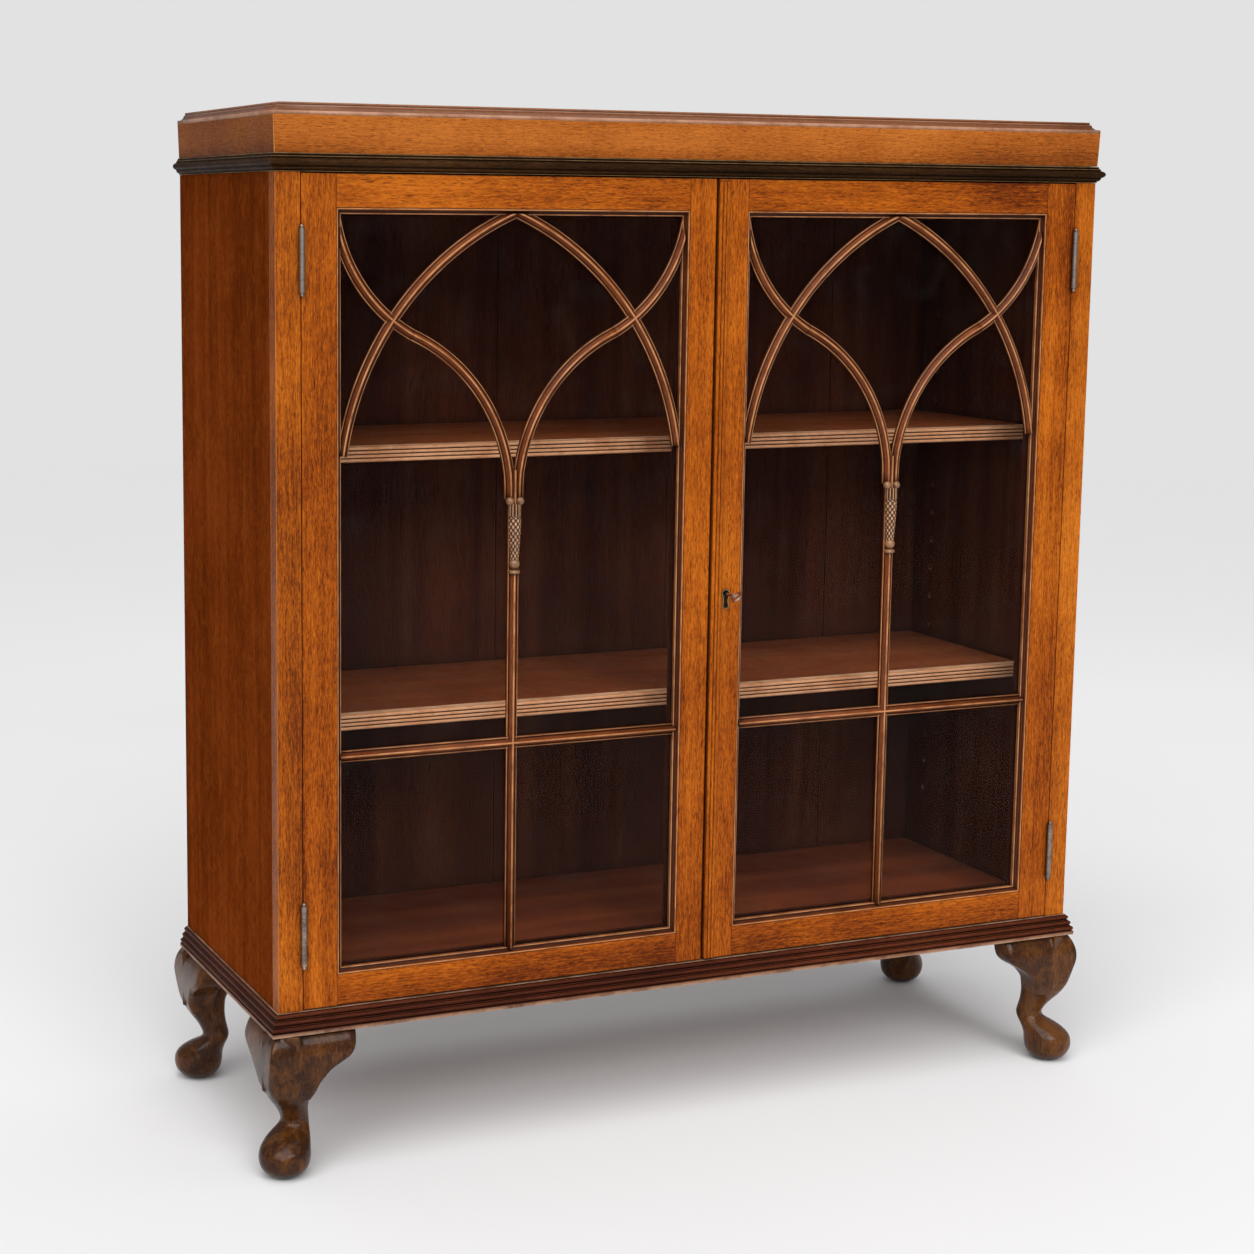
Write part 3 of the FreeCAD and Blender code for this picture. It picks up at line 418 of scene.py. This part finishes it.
def crest_of(section, reach=1.5):
    """How far each corner of a closed section stands out of its surroundings, from -1 to 1.

    The section is in millimetres and reach is the radius looked at round each corner.
    """
    samples = []
    area = 0.0
    for i, (ax, ay) in enumerate(section):
        bx, by = section[(i + 1) % len(section)]
        area += ax * by - bx * ay
        count = max(1, int(math.dist((ax, ay), (bx, by)) / 0.15))
        samples += [(ax + (bx - ax) * k / count, ay + (by - ay) * k / count) for k in range(count)]
    way = 1.0 if area > 0 else -1.0
    values = []
    for i, (x, y) in enumerate(section):
        near = [p for p in samples if math.dist(p, (x, y)) < reach]
        cx = sum(p[0] for p in near) / len(near)
        cy = sum(p[1] for p in near) / len(near)
        px, py = section[i - 1]
        qx, qy = section[(i + 1) % len(section)]
        length = math.hypot(qx - px, qy - py) or 1.0
        nx, ny = (qy - py) / length * way, -(qx - px) / length * way
        out = (x - cx) * nx + (y - cy) * ny
        values.append(max(-1.0, min(1.0, out / 0.38)))
    return values


def scaled(points):
    """Millimetres to metres."""
    return [(a * MM, b * MM) for a, b in points]


def case_run(name, section, material, slot, replaced, back=BACK):
    """Moulding along the front and both sides; section gives (out, z) from the case faces."""
    rings = []
    stops = [(-HALF, back, -1.0, 0.0), (-HALF, FRONT, -1.0, -1.0), (HALF, FRONT, 1.0, -1.0),
             (HALF, back, 1.0, 0.0)]
    for i, (x, y, dx, dy) in enumerate(stops):
        if i:
            px, py = stops[i - 1][:2]
            nx, ny = ((-1.0, 0.0), (0.0, -1.0), (1.0, 0.0))[i - 1]
            steps = 12 if i == 2 else 6
            for k in range(1, steps):
                t = k / steps
                rings.append([(px + (x - px) * t + nx * out, py + (y - py) * t + ny * out, z)
                              for out, z in section])
        rings.append([(x + dx * out, y + dy * out, z) for out, z in section])
    points, faces = tube(rings)
    crest = crest_of([(a / MM, b / MM) for a, b in section])
    # Narrows the pale lines of wear and painted highlight along the ridges.
    crest = [c if c < 0 else c ** 1.4 for c in crest] * len(rings)
    return place(name, points, faces, material, "case", slot, replaced, crest)


def sharpen(piece, angle=32.0, width=0.00035):
    """Rounds the sharp arrises of a piece and keeps flat faces flat."""
    bevel = piece.modifiers.new("arris", "BEVEL")
    bevel.width = width
    bevel.segments = 2
    bevel.limit_method = "ANGLE"
    bevel.angle_limit = math.radians(angle)
    bevel.harden_normals = True
    bevel.use_clamp_overlap = True
    return piece


# ---- mouldings round the case ----
def base_section():
    """Three reeds stepping outwards, with a quirk under each."""
    z1 = CASE_Z / MM
    points = [(-11.0, z1), (2.2, z1)]
    out = 2.2
    for i in range(3):
        top = z1 - 0.6 - i * 7.0
        points += [(out, top)]
        points += arc(out, top - 0.4, out + 1.2, top - 5.6, 2.1, 8)
        points += [(out + 1.2, top - 5.9), (out + 2.4, top - 6.4)]
        out += 2.5
    points += [(out + 0.6, z1 - 22.0), (out + 0.4, LEG_TOP / MM + 0.4), (out, LEG_TOP / MM),
               (-11.0, LEG_TOP / MM)]
    return scaled(tidy(points))


def cornice_section():
    """Fillet and cove, a round nose, then a fillet under the frieze."""
    z0 = CASE_TOP / MM
    z1 = FRIEZE_Z / MM
    points = [(-11.0, z0 + 0.2), (1.2, z0 + 0.2), (1.2, z0 + 1.6)]
    points += arc(1.6, z0 + 1.9, 4.6, z0 + 5.6, -0.9, 5)
    points += [(5.2, z0 + 5.8)]
    points += arc(5.2, z0 + 6.2, 5.2, z0 + 14.4, -3.6, 12)
    points += [(4.4, z0 + 14.8), (4.4, z0 + 16.4)]
    points += arc(4.0, z0 + 16.8, 2.6, z1 - 0.2, 0.6, 4)
    points += [(-11.0, z1 - 0.2)]
    return scaled(tidy(points))


sharpen(case_run("base_reeds", base_section(), WOODS["moulding_dark"], "dark_moulding",
                 ("base_mouldings",)))
sharpen(case_run("cornice_bead", cornice_section(), WOODS["cornice_dark"], "dark_moulding",
                 ("cornice_mouldings",)))


def top_board():
    """Top with a fillet, an ovolo set back behind a quirk, and a flat upper face."""
    z = TOP_Z / MM
    section = [(-12.0, z), (2.4, z), (2.4, z + 3.6)]
    section += arc(1.4, z + 4.2, -5.6, z + 10.2, 1.9, 8)
    section += [(-7.2, z + 10.4), (-7.2, TOP / MM), (-12.0, TOP / MM)]
    section = scaled(tidy(section))
    case_run("top_ovolo", section, WOODS["top_edge"], "front_mahogany", ("top_board",))
    x = HALF - 0.0115
    y0 = FRONT + 0.0115
    plan = ((-x, y0), (x, y0), (x, BACK), (-x, BACK))
    points = [(px, py, pz) for pz in (TOP_Z, TOP) for px, py in plan]
    faces = [(0, 1, 2, 3), (4, 5, 6, 7), (0, 1, 5, 4), (1, 2, 6, 5), (2, 3, 7, 6), (3, 0, 4, 7)]
    panel = place("top_panel", points, faces, WOODS["mahogany_top"], "case", "front_mahogany",
                  ("top_board",))
    panel.data.polygons.foreach_set("use_smooth", [False] * 6)


top_board()


# ---- legs ----
# height, inset of the section's centre from the case corner, half width, squareness (millimetres)
LEG_SECTIONS = ((172, 28, 27, 6), (162, 24, 27, 5.8), (152, 21, 27, 5.4), (138, 19, 27.5, 4.8),
                (124, 17, 28, 4), (108, 14.8, 27, 3.4), (92, 17.4, 23.2, 2.8), (78, 22.6, 18.6, 2.3),
                (68, 26.2, 16.9, 2), (60, 27.6, 16.6, 2), (54, 25, 18.6, 2), (49, 20.5, 22.3, 2),
                (43, 15.6, 26, 2), (34, 10.9, 29.4, 2), (23, 9.5, 30.3, 2), (12, 9.5, 27.4, 2),
                (4, 9.5, 19.6, 2), (0.2, 9.5, 11.5, 2))
# how far the rolled face of the ear stands out of the case at each height
EAR_OUT = ((172, 4.6), (168, 7.6), (162, 10.8), (154, 13.5), (146, 14.9), (138, 15.2), (130, 14.8),
           (122, 14.1), (114, 13.2), (106, 11.6), (98, 8.6), (90, 4.0))
# lowest height of the ear; the first column runs backwards from the corner of the case
EAR_FOOT = ((16, 100), (-30, 92), (-38, 92), (-41, 96), (-44, 104), (-48, 112), (-53, 119.5), (-59, 126),
            (-66, 131), (-74, 135.5), (-82, 140.5), (-88, 147), (-91, 155), (-93, 168))
EAR_LOWEST = 90.0
EAR_CORNER = -14.5
EAR_BACK = 22.0
LEG_HEIGHT = 172.0
# radius that rounds the corner where the two ears meet, at each height
KNEE_ROUND = ((172, 0.4), (150, 0.8), (138, 4.0), (126, 10.0), (112, 15.0), (90, 17.0))


def smooth_between(rows, z):
    """Catmull-Rom value of each column at height z; rows run from the top down."""
    for i in range(len(rows) - 1):
        if rows[i][0] >= z >= rows[i + 1][0]:
            break
    first = rows[max(i - 1, 0)]
    a = rows[i]
    b = rows[i + 1]
    last = rows[min(i + 2, len(rows) - 1)]
    t = (a[0] - z) / (a[0] - b[0])
    out = []
    for p0, p1, p2, p3 in zip(first[1:], a[1:], b[1:], last[1:]):
        m1 = (p2 - p0) / max(first[0] - b[0], 1e-6) * (a[0] - b[0])
        m2 = (p3 - p1) / max(a[0] - last[0], 1e-6) * (a[0] - b[0])
        out.append((2 * t**3 - 3 * t**2 + 1) * p1 + (t**3 - 2 * t**2 + t) * m1
                   + (-2 * t**3 + 3 * t**2) * p2 + (t**3 - t**2) * m2)
    return out


def leg_post():
    """Shaft from the knee to the pad foot, as rings in corner coordinates."""
    rings = []
    levels = [LEG_HEIGHT - i * 3.0 for i in range(55)] + [8.0, 6.0, 4.5, 3.0, 1.8, 0.9, 0.2]
    for z in levels:
        inset, half, square = smooth_between(LEG_SECTIONS, z)
        ring = []
        for k in range(56):
            angle = 2 * math.pi * k / 56
            c, s = math.cos(angle), math.sin(angle)
            ring.append((inset + math.copysign(abs(c) ** (2 / square), c) * half,
                         inset + math.copysign(abs(s) ** (2 / square), s) * half, z))
        rings.append(ring)
    return tube(rings)


def ear_block():
    """Rolled bracket beside the knee along the front, mitred at the corner of the case."""
    rings = []
    spans = [-15.5 + i * 1.0 for i in range(47)] + [32 + i * 2.0 for i in range(28)]
    spans += [88.5, 90.0, 91.2, 92.2, 92.8]
    for u in spans:
        foot = smooth_between(EAR_FOOT, -u)[0]
        ring = []
        for k in range(31):
            z = LEG_HEIGHT - (LEG_HEIGHT - foot) * k / 30
            out = smooth_between(EAR_OUT, max(z, EAR_LOWEST))[0]
            knee = smooth_between(KNEE_ROUND, max(z, EAR_LOWEST))[0]
            inside = max(0.0, knee - (u + out))
            out -= knee - math.sqrt(max(0.0, knee * knee - min(inside, knee) ** 2))
            out -= 5.0 * max(0.0, (u - 84.0) / 9.0) ** 2
            edge_round = max(0.0, 1 - (z - foot) / 7.0) if u > 36 else 0.0
            out -= 4.0 * edge_round ** 2 * min(1.0, (u - 36.0) / 12.0)
            out -= 7.0 * edge_round * max(0.0, 1 - abs(u - 43.0) / 9.0)
            ring.append((max(u, -out), -out, z))
        ring.append((max(u, EAR_CORNER), EAR_BACK, foot))
        ring.append((max(u, EAR_CORNER), EAR_BACK, LEG_HEIGHT))
        rings.append(ring)
    return tube(rings)


def leg_shape():
    """Shaft with the front ear and the side ear, which is the front one mirrored in the diagonal."""
    front_points, faces = ear_block()
    side_points = [(b, a, z) for a, b, z in front_points]
    return joined([leg_post(), (front_points, faces), (side_points, faces)])


def apply_modifiers(piece):
    """Bakes the modifiers into the mesh."""
    shown = piece.evaluated_get(bpy.context.evaluated_depsgraph_get())
    mesh = bpy.data.meshes.new_from_object(shown)
    piece.modifiers.clear()
    piece.data = mesh


def build_legs():
    points, faces = leg_shape()
    points = [(-HALF + a * MM, FRONT + b * MM, z * MM) for a, b, z in points]
    front_left = place("front_left_cabriole_leg", points, faces, WOODS["leg_walnut"], "case",
                       "leg_walnut", ("front_left_leg", "front_leg_ears"))
    skin = front_left.modifiers.new("skin", "REMESH")
    skin.mode = "VOXEL"
    skin.voxel_size = 0.0013
    skin.use_smooth_shade = True
    ease = front_left.modifiers.new("ease", "SMOOTH")
    ease.factor = 0.5
    ease.iterations = 10
    apply_modifiers(front_left)
    others = (("front_right", -1, 1, ("front_right_leg", "front_leg_ears")),
              ("back_left", 1, -1, ("back_left_leg", "back_leg_ears")),
              ("back_right", -1, -1, ("back_right_leg", "back_leg_ears")))
    for name, flip_x, flip_y, replaced in others:
        corner_points = [(v.co.x * flip_x, MIDDLE_Y + (v.co.y - MIDDLE_Y) * flip_y, v.co.z)
                         for v in front_left.data.vertices]
        corner_faces = [tuple(p.vertices) for p in front_left.data.polygons]
        place(name + "_cabriole_leg", corner_points, corner_faces, WOODS["leg_walnut"], "case",
              "leg_walnut", replaced)


build_legs()


# ---- doors: sticking, glazing bars and carving ----
DOORS = {"left_door": (corners("left_door_glass")[0].x, corners("left_door_glass")[1].x),
         "right_door": (corners("right_door_glass")[0].x, corners("right_door_glass")[1].x)}
SIGHT_Z0 = corners("left_door_glass")[0].z
SIGHT_Z1 = corners("left_door_glass")[1].z
STICKING = 7.0
# distance from the middle of the bar, height above the glass (millimetres), and its arris value: wear
# and painted highlight above 0, painted shade below 0
BAR_HALF = ((6.5, 0.0, 0.0), (6.5, 3.3, 0.5), (6.2, 3.9, 0.9), (5.7, 4.15, 1.0), (5.2, 3.8, 0.6),
            (4.8, 3.1, -1.0), (4.3, 3.4, -1.0), (3.6, 4.4, -0.1), (2.8, 5.7, 0.1), (2.0, 7.0, 0.0),
            (1.4, 7.6, -0.2), (1.1, 8.1, 0.7), (0.7, 8.6, 1.0), (0.3, 8.85, 1.0), (0.0, 8.9, 1.0))


def bar_section(width):
    """Reeded astragal: a bead at each edge, a cove and a raised ridge along the middle."""
    k = width / 13.0
    side = [(a * k, h) for a, h, _ in BAR_HALF]
    return side + [(-a, h) for a, h in side[-2::-1]]


BAR_CREST = [c for _, _, c in BAR_HALF] + [c for _, _, c in BAR_HALF[-2::-1]]


def sweep_bar(line, section):
    """Bar that follows points (x, z) in the door's plane; heights run forwards from the glass."""
    rings = []
    for i, (x, z) in enumerate(line):
        x0, z0 = line[max(i - 1, 0)]
        x1, z1 = line[min(i + 1, len(line) - 1)]
        length = math.hypot(x1 - x0, z1 - z0)
        ax, az = -(z1 - z0) / length, (x1 - x0) / length
        rings.append([(x + ax * a * MM, GLASS_Y - h * MM, z + az * a * MM) for a, h in section])
    return tube(rings)


def three_point_arc(a, b, c, steps=40):
    """Points along the circle through a, b and c."""
    ax, az = a
    bx, bz = b
    cx, cz = c
    d = 2 * (ax * (bz - cz) + bx * (cz - az) + cx * (az - bz))
    a2, b2, c2 = ax * ax + az * az, bx * bx + bz * bz, cx * cx + cz * cz
    ox = (a2 * (bz - cz) + b2 * (cz - az) + c2 * (az - bz)) / d
    oz = (a2 * (cx - bx) + b2 * (ax - cx) + c2 * (bx - ax)) / d
    radius = math.hypot(ax - ox, az - oz)
    t0 = math.atan2(az - oz, ax - ox)
    t1 = math.atan2(cz - oz, cx - ox)
    if t1 - t0 > math.pi:
        t1 -= 2 * math.pi
    if t0 - t1 > math.pi:
        t1 += 2 * math.pi
    return [(ox + radius * math.cos(t0 + (t1 - t0) * i / steps),
             oz + radius * math.sin(t0 + (t1 - t0) * i / steps)) for i in range(steps + 1)]


def trim(piece, planes):
    """Cuts a piece of closed shapes by planes (point, outward normal) and closes the cuts."""
    bm = bmesh.new()
    bm.from_mesh(piece.data)
    for point, normal in planes:
        everything = bm.verts[:] + bm.edges[:] + bm.faces[:]
        cut = bmesh.ops.bisect_plane(bm, geom=everything, plane_co=point, plane_no=normal,
                                     clear_outer=True)
        loose = [e for e in cut["geom_cut"] if isinstance(e, bmesh.types.BMEdge)]
        bmesh.ops.holes_fill(bm, edges=loose)
    bm.to_mesh(piece.data)
    bm.free()


def tracery(door, left, right):
    """Crossing pointed arches over a stem and a cross bar."""
    middle = (left + right) / 2
    scale = (right - left) / 0.437 * MM
    edge = STICKING * MM * 0.76

    def at(x, z):
        return (middle + x * scale, CASE_Z + z * MM)
    section = bar_section(13.0)
    shapes = []
    crest = []
    for side in (-1, 1):
        lines = (three_point_arc(at(0, 905), at(side * 149, 786), at(side * 210, 634)),
                 three_point_arc(at(side * 219.5, 911), at(side * 191.5, 829), at(side * 126, 768)),
                 three_point_arc(at(side * 126, 768), at(side * 51, 711), at(side * 6, 606))
                 + [at(side * 5.4, 594), at(side * 5.2, 578)])
        for line in lines:
            shapes.append(sweep_bar(line, section))
            crest += BAR_CREST * len(line)
    stem = [at(0, 612), at(0, 450), at(0, 292), (middle, SIGHT_Z0)]
    shapes.append(sweep_bar(stem, bar_section(13.6)))
    crest += BAR_CREST * len(stem)
    cross_z = CASE_Z + 291.5 * MM
    cross = [(left, cross_z), (middle, cross_z), (right, cross_z)]
    shapes.append(sweep_bar(cross, bar_section(13.4)))
    crest += BAR_CREST * len(cross)
    points, faces = joined(shapes)
    piece = place(door + "_glazing_bars", points, faces, WOODS["bar_wood"], door, "glazing_bar_wood",
                  (door + "_tracery",), crest)
    trim(piece, (((left + edge, 0, 0), (-1, 0, 0)), ((right - edge, 0, 0), (1, 0, 0)),
                 ((0, 0, SIGHT_Z0 + edge), (0, 0, -1)), ((0, 0, SIGHT_Z1 - edge), (0, 0, 1))))
    return piece


def sticking(door, left, right):
    """Moulding round the opening: bead at the frame, a cove darkened with painted shade, bead at the
    glass.
    """
    section = [(0.0, 0.2), (0.0, 9.3)] + arc(0.2, 9.5, 2.0, 9.5, 0.9, 5)
    section += [(2.2, 9.0)] + arc(2.4, 8.2, 4.8, 4.2, -0.9, 5)
    section += [(4.9, 4.0)] + arc(5.0, 4.1, 6.9, 3.6, 0.9, 5) + [(7.0, 0.2)]
    stops = ((left, SIGHT_Z0, 1, 1), (right, SIGHT_Z0, -1, 1), (right, SIGHT_Z1, -1, -1),
             (left, SIGHT_Z1, 1, -1))
    rings = [[(x + dx * a * MM, GLASS_Y - h * MM, z + dz * a * MM) for a, h in section]
             for x, z, dx, dz in stops]
    points, faces = tube(rings, closed=True)
    piece = place(door + "_sticking", points, faces, WOODS["bar_wood"], door, "glazing_bar_wood",
                  (door + "_front_mouldings",), crest_of(section) * 4)
    return sharpen(piece, 30.0, 0.00025)


def lathe(x, y, profile, steps=48):
    """Turned form on an upright axis from (radius, z) rows in millimetres above the case bottom."""
    rings = []
    for radius, z in profile:
        turns = [2 * math.pi * k / steps for k in range(steps)]
        rings.append([(x + radius * math.cos(a) * MM, y + radius * math.sin(a) * MM, CASE_Z + z * MM)
                      for a in turns])
    return tube(rings)


def ball(x, y, z, radius, steps=32):
    rows = [(radius * math.sin(math.pi * i / 20), z - radius * math.cos(math.pi * i / 20))
            for i in range(1, 20)]
    return lathe(x, y, rows, steps=steps)


def husk_relief(angle, z):
    """Depth of the carving from 0 to 1: leaf scales in spiral rows, and short flutes at the top."""
    if z > 557.0:
        fade = min(1.0, (z - 557.0) / 2.5) * min(1.0, max(0.0, (573.5 - z) / 2.0))
        return 0.5 + 0.5 * math.cos(angle * 11) * fade
    rising = math.sin(angle * 3.5 + z * 0.42)
    falling = math.sin(angle * 3.5 - z * 0.42)
    return min(1.0, 1.25 * max(abs(rising) ** 1.5 * 0.55 + abs(falling) ** 1.5 * 0.55 - 0.12, 0.0))


def carving(door, left, right):
    """Carved drop on the stem: two balls, a husk, a ball and a collar."""
    middle = (left + right) / 2
    y = GLASS_Y - 6.2 * MM
    shapes = []
    crest = []
    rings = []
    steps = 96
    for i in range(160):
        z = 508.0 + i * 0.41
        t = (z - 508.0) / 65.5
        radius = 4.7 + 2.3 * math.sin(min(1.0, t * 1.15) * math.pi * 0.62)
        ring = []
        for k in range(steps):
            angle = 2 * math.pi * k / steps
            relief = husk_relief(angle, z)
            r = (radius * (0.80 + 0.26 * relief)) * MM
            ring.append((middle + r * math.cos(angle), y + r * math.sin(angle), CASE_Z + z * MM))
            # Raised scales take wear and painted highlight, sunk ones painted shade.
            crest.append(min(1.0, relief * 2.4 - 1.25))
        rings.append(ring)
    shapes.append(tube(rings))
    balls = [ball(middle + side * 6.2 * MM, y - 0.6 * MM, 576.0, 5.0) for side in (-1, 1)]
    balls.append(ball(middle, y - 0.2 * MM, 503.0, 6.3))
    collar = [(5.0, 491.5), (6.4, 492.1), (6.9, 493.7), (6.4, 495.3), (5.0, 496.1)]
    balls.append(lathe(middle, y, collar))
    for turned in balls:
        shapes.append(turned)
        # Balls and collar take some painted highlight all over.
        crest += [0.52] * len(turned[0])
    points, faces = joined(shapes)
    return place(door + "_carved_drop", points, faces, WOODS["carved_wood"], door, "glazing_bar_wood",
                 (door + "_carving",), crest)


for door_name, (sight_left, sight_right) in DOORS.items():
    tracery(door_name, sight_left, sight_right)
    sticking(door_name, sight_left, sight_right)
    carving(door_name, sight_left, sight_right)


# ---- shelf lips ----
def shelf_lip(name):
    """Reeded front edge of a shelf."""
    low, high = corners(name + "_shelf_edge")
    reeds = 4
    pitch = (high.z - low.z) / reeds
    section = [(high.y, low.z), (low.y + 0.0018, low.z)]
    for i in range(reeds):
        base = low.z + i * pitch
        for k in range(7):
            t = k / 6
            bulge = math.sqrt(max(0.0, 1 - (2 * t - 1) ** 2))
            section.append((low.y + 0.0018 - 0.0018 * bulge, base + pitch * (0.05 + 0.90 * t)))
    section += [(low.y + 0.0018, high.z), (high.y, high.z)]
    section = tidy(section)
    crest = crest_of([(a / MM, b / MM) for a, b in section]) * 13
    rings = []
    for i in range(13):
        x = low.x + (high.x - low.x) * i / 12
        rings.append([(x, y, z) for y, z in section])
    points, faces = tube(rings)
    piece = place(name + "_shelf_reeded_lip", points, faces, WOODS["shelf_lip"], name + "_shelf",
                  "shelf_wood", (name + "_shelf_edge",), crest)
    return sharpen(piece, 35.0, 0.0002)


shelf_lip("lower")
shelf_lip("upper")


# ---- materials of the CAD nodes that stay ----
def material_of(node):
    """Material of a CAD node, by its name."""
    if node.endswith("_glass"):
        return GLASS
    if node == "key":
        return COPPER_STEEL
    if "hinge_leaves" in node or node == "hinge_pins":
        return BRONZE
    if node in ("lock_case", "lock_bolt"):
        return LOCK_STEEL
    if "screws" in node or node == "escutcheon" or "bolt" in node or "strike" in node:
        return BRASS
    if node == "leg_glue_blocks":
        return WOODS["raw_upright"]
    if node in ("base_front_rail", "base_back_rail", "base_side_rails", "cornice_rails"):
        return WOODS["raw_level"]
    if "side_panel" in node:
        return WOODS["mahogany_side"]
    if node in ("case_bottom", "case_sub_top"):
        return WOODS["inside_level"]
    if node == "back_boards" or "pegs" in node or "back_beads" in node:
        return WOODS["inside_upright"]
    if node in ("left_front_stile", "right_front_stile"):
        return WOODS["mahogany_corner"]
    if node == "frieze_boards":
        return WOODS["mahogany_frieze"]
    if node == "top_board":
        return WOODS["mahogany_top"]
    if node.endswith("_door_rails"):
        return WOODS["mahogany_level"]
    if node.endswith("shelf_board"):
        return WOODS["shelf_wood"]
    return WOODS["mahogany_upright"]


BOARDS = ("stile", "rails", "panel", "board", "case_bottom", "case_sub_top", "blocks", "rail", "beads")
for node_name, piece in NODES.items():
    piece.data.materials.clear()
    piece.data.materials.append(material_of(node_name))
    if any(word in node_name for word in BOARDS):
        with bpy.context.temp_override(object=piece, active_object=piece, selected_objects=[piece]):
            bpy.ops.mesh.customdata_custom_splitnormals_clear()
        piece.data.polygons.foreach_set("use_smooth", [False] * len(piece.data.polygons))
        weld = piece.modifiers.new("weld", "WELD")
        weld.merge_threshold = 0.00001
        sharpen(piece, 40.0, 0.0009)


# ---- stage, light and camera ----
def make_floor():
    """Wide pale floor that fades out before its edge."""
    radius = 9.0
    fade_start = 3.0
    fade_end = radius * 0.98
    mesh = bpy.data.meshes.new("floor")
    bm = bmesh.new()
    bmesh.ops.create_circle(bm, cap_ends=True, radius=radius, segments=96)
    bm.to_mesh(mesh)
    bm.free()
    floor = bpy.data.objects.new("floor", mesh)
    bpy.context.scene.collection.objects.link(floor)
    g = Graph("pale_floor")
    cloud = g.noise(g.coords, 0.9, 2.0, 0.5)
    colour = g.ramp(cloud, [(0.3, (0.79, 0.79, 0.795)), (0.7, (0.81, 0.81, 0.812))])
    surface = g.node("BsdfPrincipled", {"Base Color": colour, "Roughness": 0.9,
                                        "Specular IOR Level": 0.1})
    distance = g.node("VectorMath", {0: g.coords}, operation="LENGTH").outputs["Value"]
    fade = g.remap(distance, fade_start, fade_end)
    clear = g.node("BsdfTransparent")
    both = g.node("MixShader", {0: fade, 1: surface.outputs[0], 2: clear.outputs[0]})
    mesh.materials.append(g.finish(both.outputs[0]))


def make_world():
    """Pale backdrop for the camera and a dimmer one as light."""
    world = bpy.data.worlds.new("studio")
    bpy.context.scene.world = world
    world.use_nodes = True
    tree = world.node_tree
    tree.nodes.clear()
    output = tree.nodes.new("ShaderNodeOutputWorld")
    seen = tree.nodes.new("ShaderNodeBackground")
    seen.inputs["Color"].default_value = (0.76, 0.76, 0.765, 1.0)
    lit = tree.nodes.new("ShaderNodeBackground")
    lit.inputs["Color"].default_value = (0.80, 0.80, 0.82, 1.0)
    lit.inputs["Strength"].default_value = 0.37
    path = tree.nodes.new("ShaderNodeLightPath")
    mixer = tree.nodes.new("ShaderNodeMixShader")
    tree.links.new(path.outputs["Is Camera Ray"], mixer.inputs[0])
    tree.links.new(lit.outputs[0], mixer.inputs[1])
    tree.links.new(seen.outputs[0], mixer.inputs[2])
    tree.links.new(mixer.outputs[0], output.inputs["Surface"])


def area_light(name, position, target, size, power, colour=(1.0, 1.0, 1.0)):
    lamp = bpy.data.lights.new(name, "AREA")
    lamp.shape = "RECTANGLE"
    lamp.size = size[0]
    lamp.size_y = size[1]
    lamp.energy = power
    lamp.color = colour
    holder = bpy.data.objects.new(name, lamp)
    holder.location = position
    aim = Vector(target) - Vector(position)
    holder.rotation_mode = "QUATERNION"
    holder.rotation_quaternion = aim.to_track_quat("-Z", "Y")
    bpy.context.scene.collection.objects.link(holder)


def sun_light():
    """Broad light from the upper left in front, soft enough for a faint shadow."""
    lamp = bpy.data.lights.new("window_light", "SUN")
    lamp.energy = 2.85
    lamp.angle = math.radians(65)
    holder = bpy.data.objects.new("window_light", lamp)
    holder.rotation_mode = "QUATERNION"
    holder.rotation_quaternion = Vector((0.36, 0.62, -0.70)).to_track_quat("-Z", "Y")
    bpy.context.scene.collection.objects.link(holder)


def make_camera():
    """Camera to the left of the case at chest height, looking slightly down."""
    position = Vector((-1.3626, -2.6879, 1.1001))
    azimuth, elevation, roll = (math.radians(a) for a in (23.043, 8.427, 0.438))
    forward = Vector((math.sin(azimuth) * math.cos(elevation), math.cos(azimuth) * math.cos(elevation),
                      -math.sin(elevation)))
    level = Vector((math.cos(azimuth), -math.sin(azimuth), 0.0))
    upright = level.cross(forward)
    right = level * math.cos(roll) + upright * math.sin(roll)
    up = right.cross(forward)
    lens = bpy.data.cameras.new("camera")
    lens.sensor_width = 36.0
    lens.lens = 68.97
    lens.shift_x = 0.1172
    lens.shift_y = -0.0451
    camera = bpy.data.objects.new("camera", lens)
    turn = Matrix((right, up, -forward)).transposed()
    camera.matrix_world = Matrix.Translation(position) @ turn.to_4x4()
    bpy.context.scene.collection.objects.link(camera)
    bpy.context.scene.camera = camera


make_floor()
make_world()
sun_light()
area_light("fill_light", (0.4, -4.6, 3.0), (0.0, 0.0, 0.6), (2.6, 1.6), 60.0)
area_light("top_light", (0.0, 0.4, 3.8), (0.0, 0.0, 0.0), (3.0, 3.0), 30.0)
make_camera()
bpy.context.scene.view_settings.view_transform = "Standard"
bpy.context.scene.view_settings.look = "None"
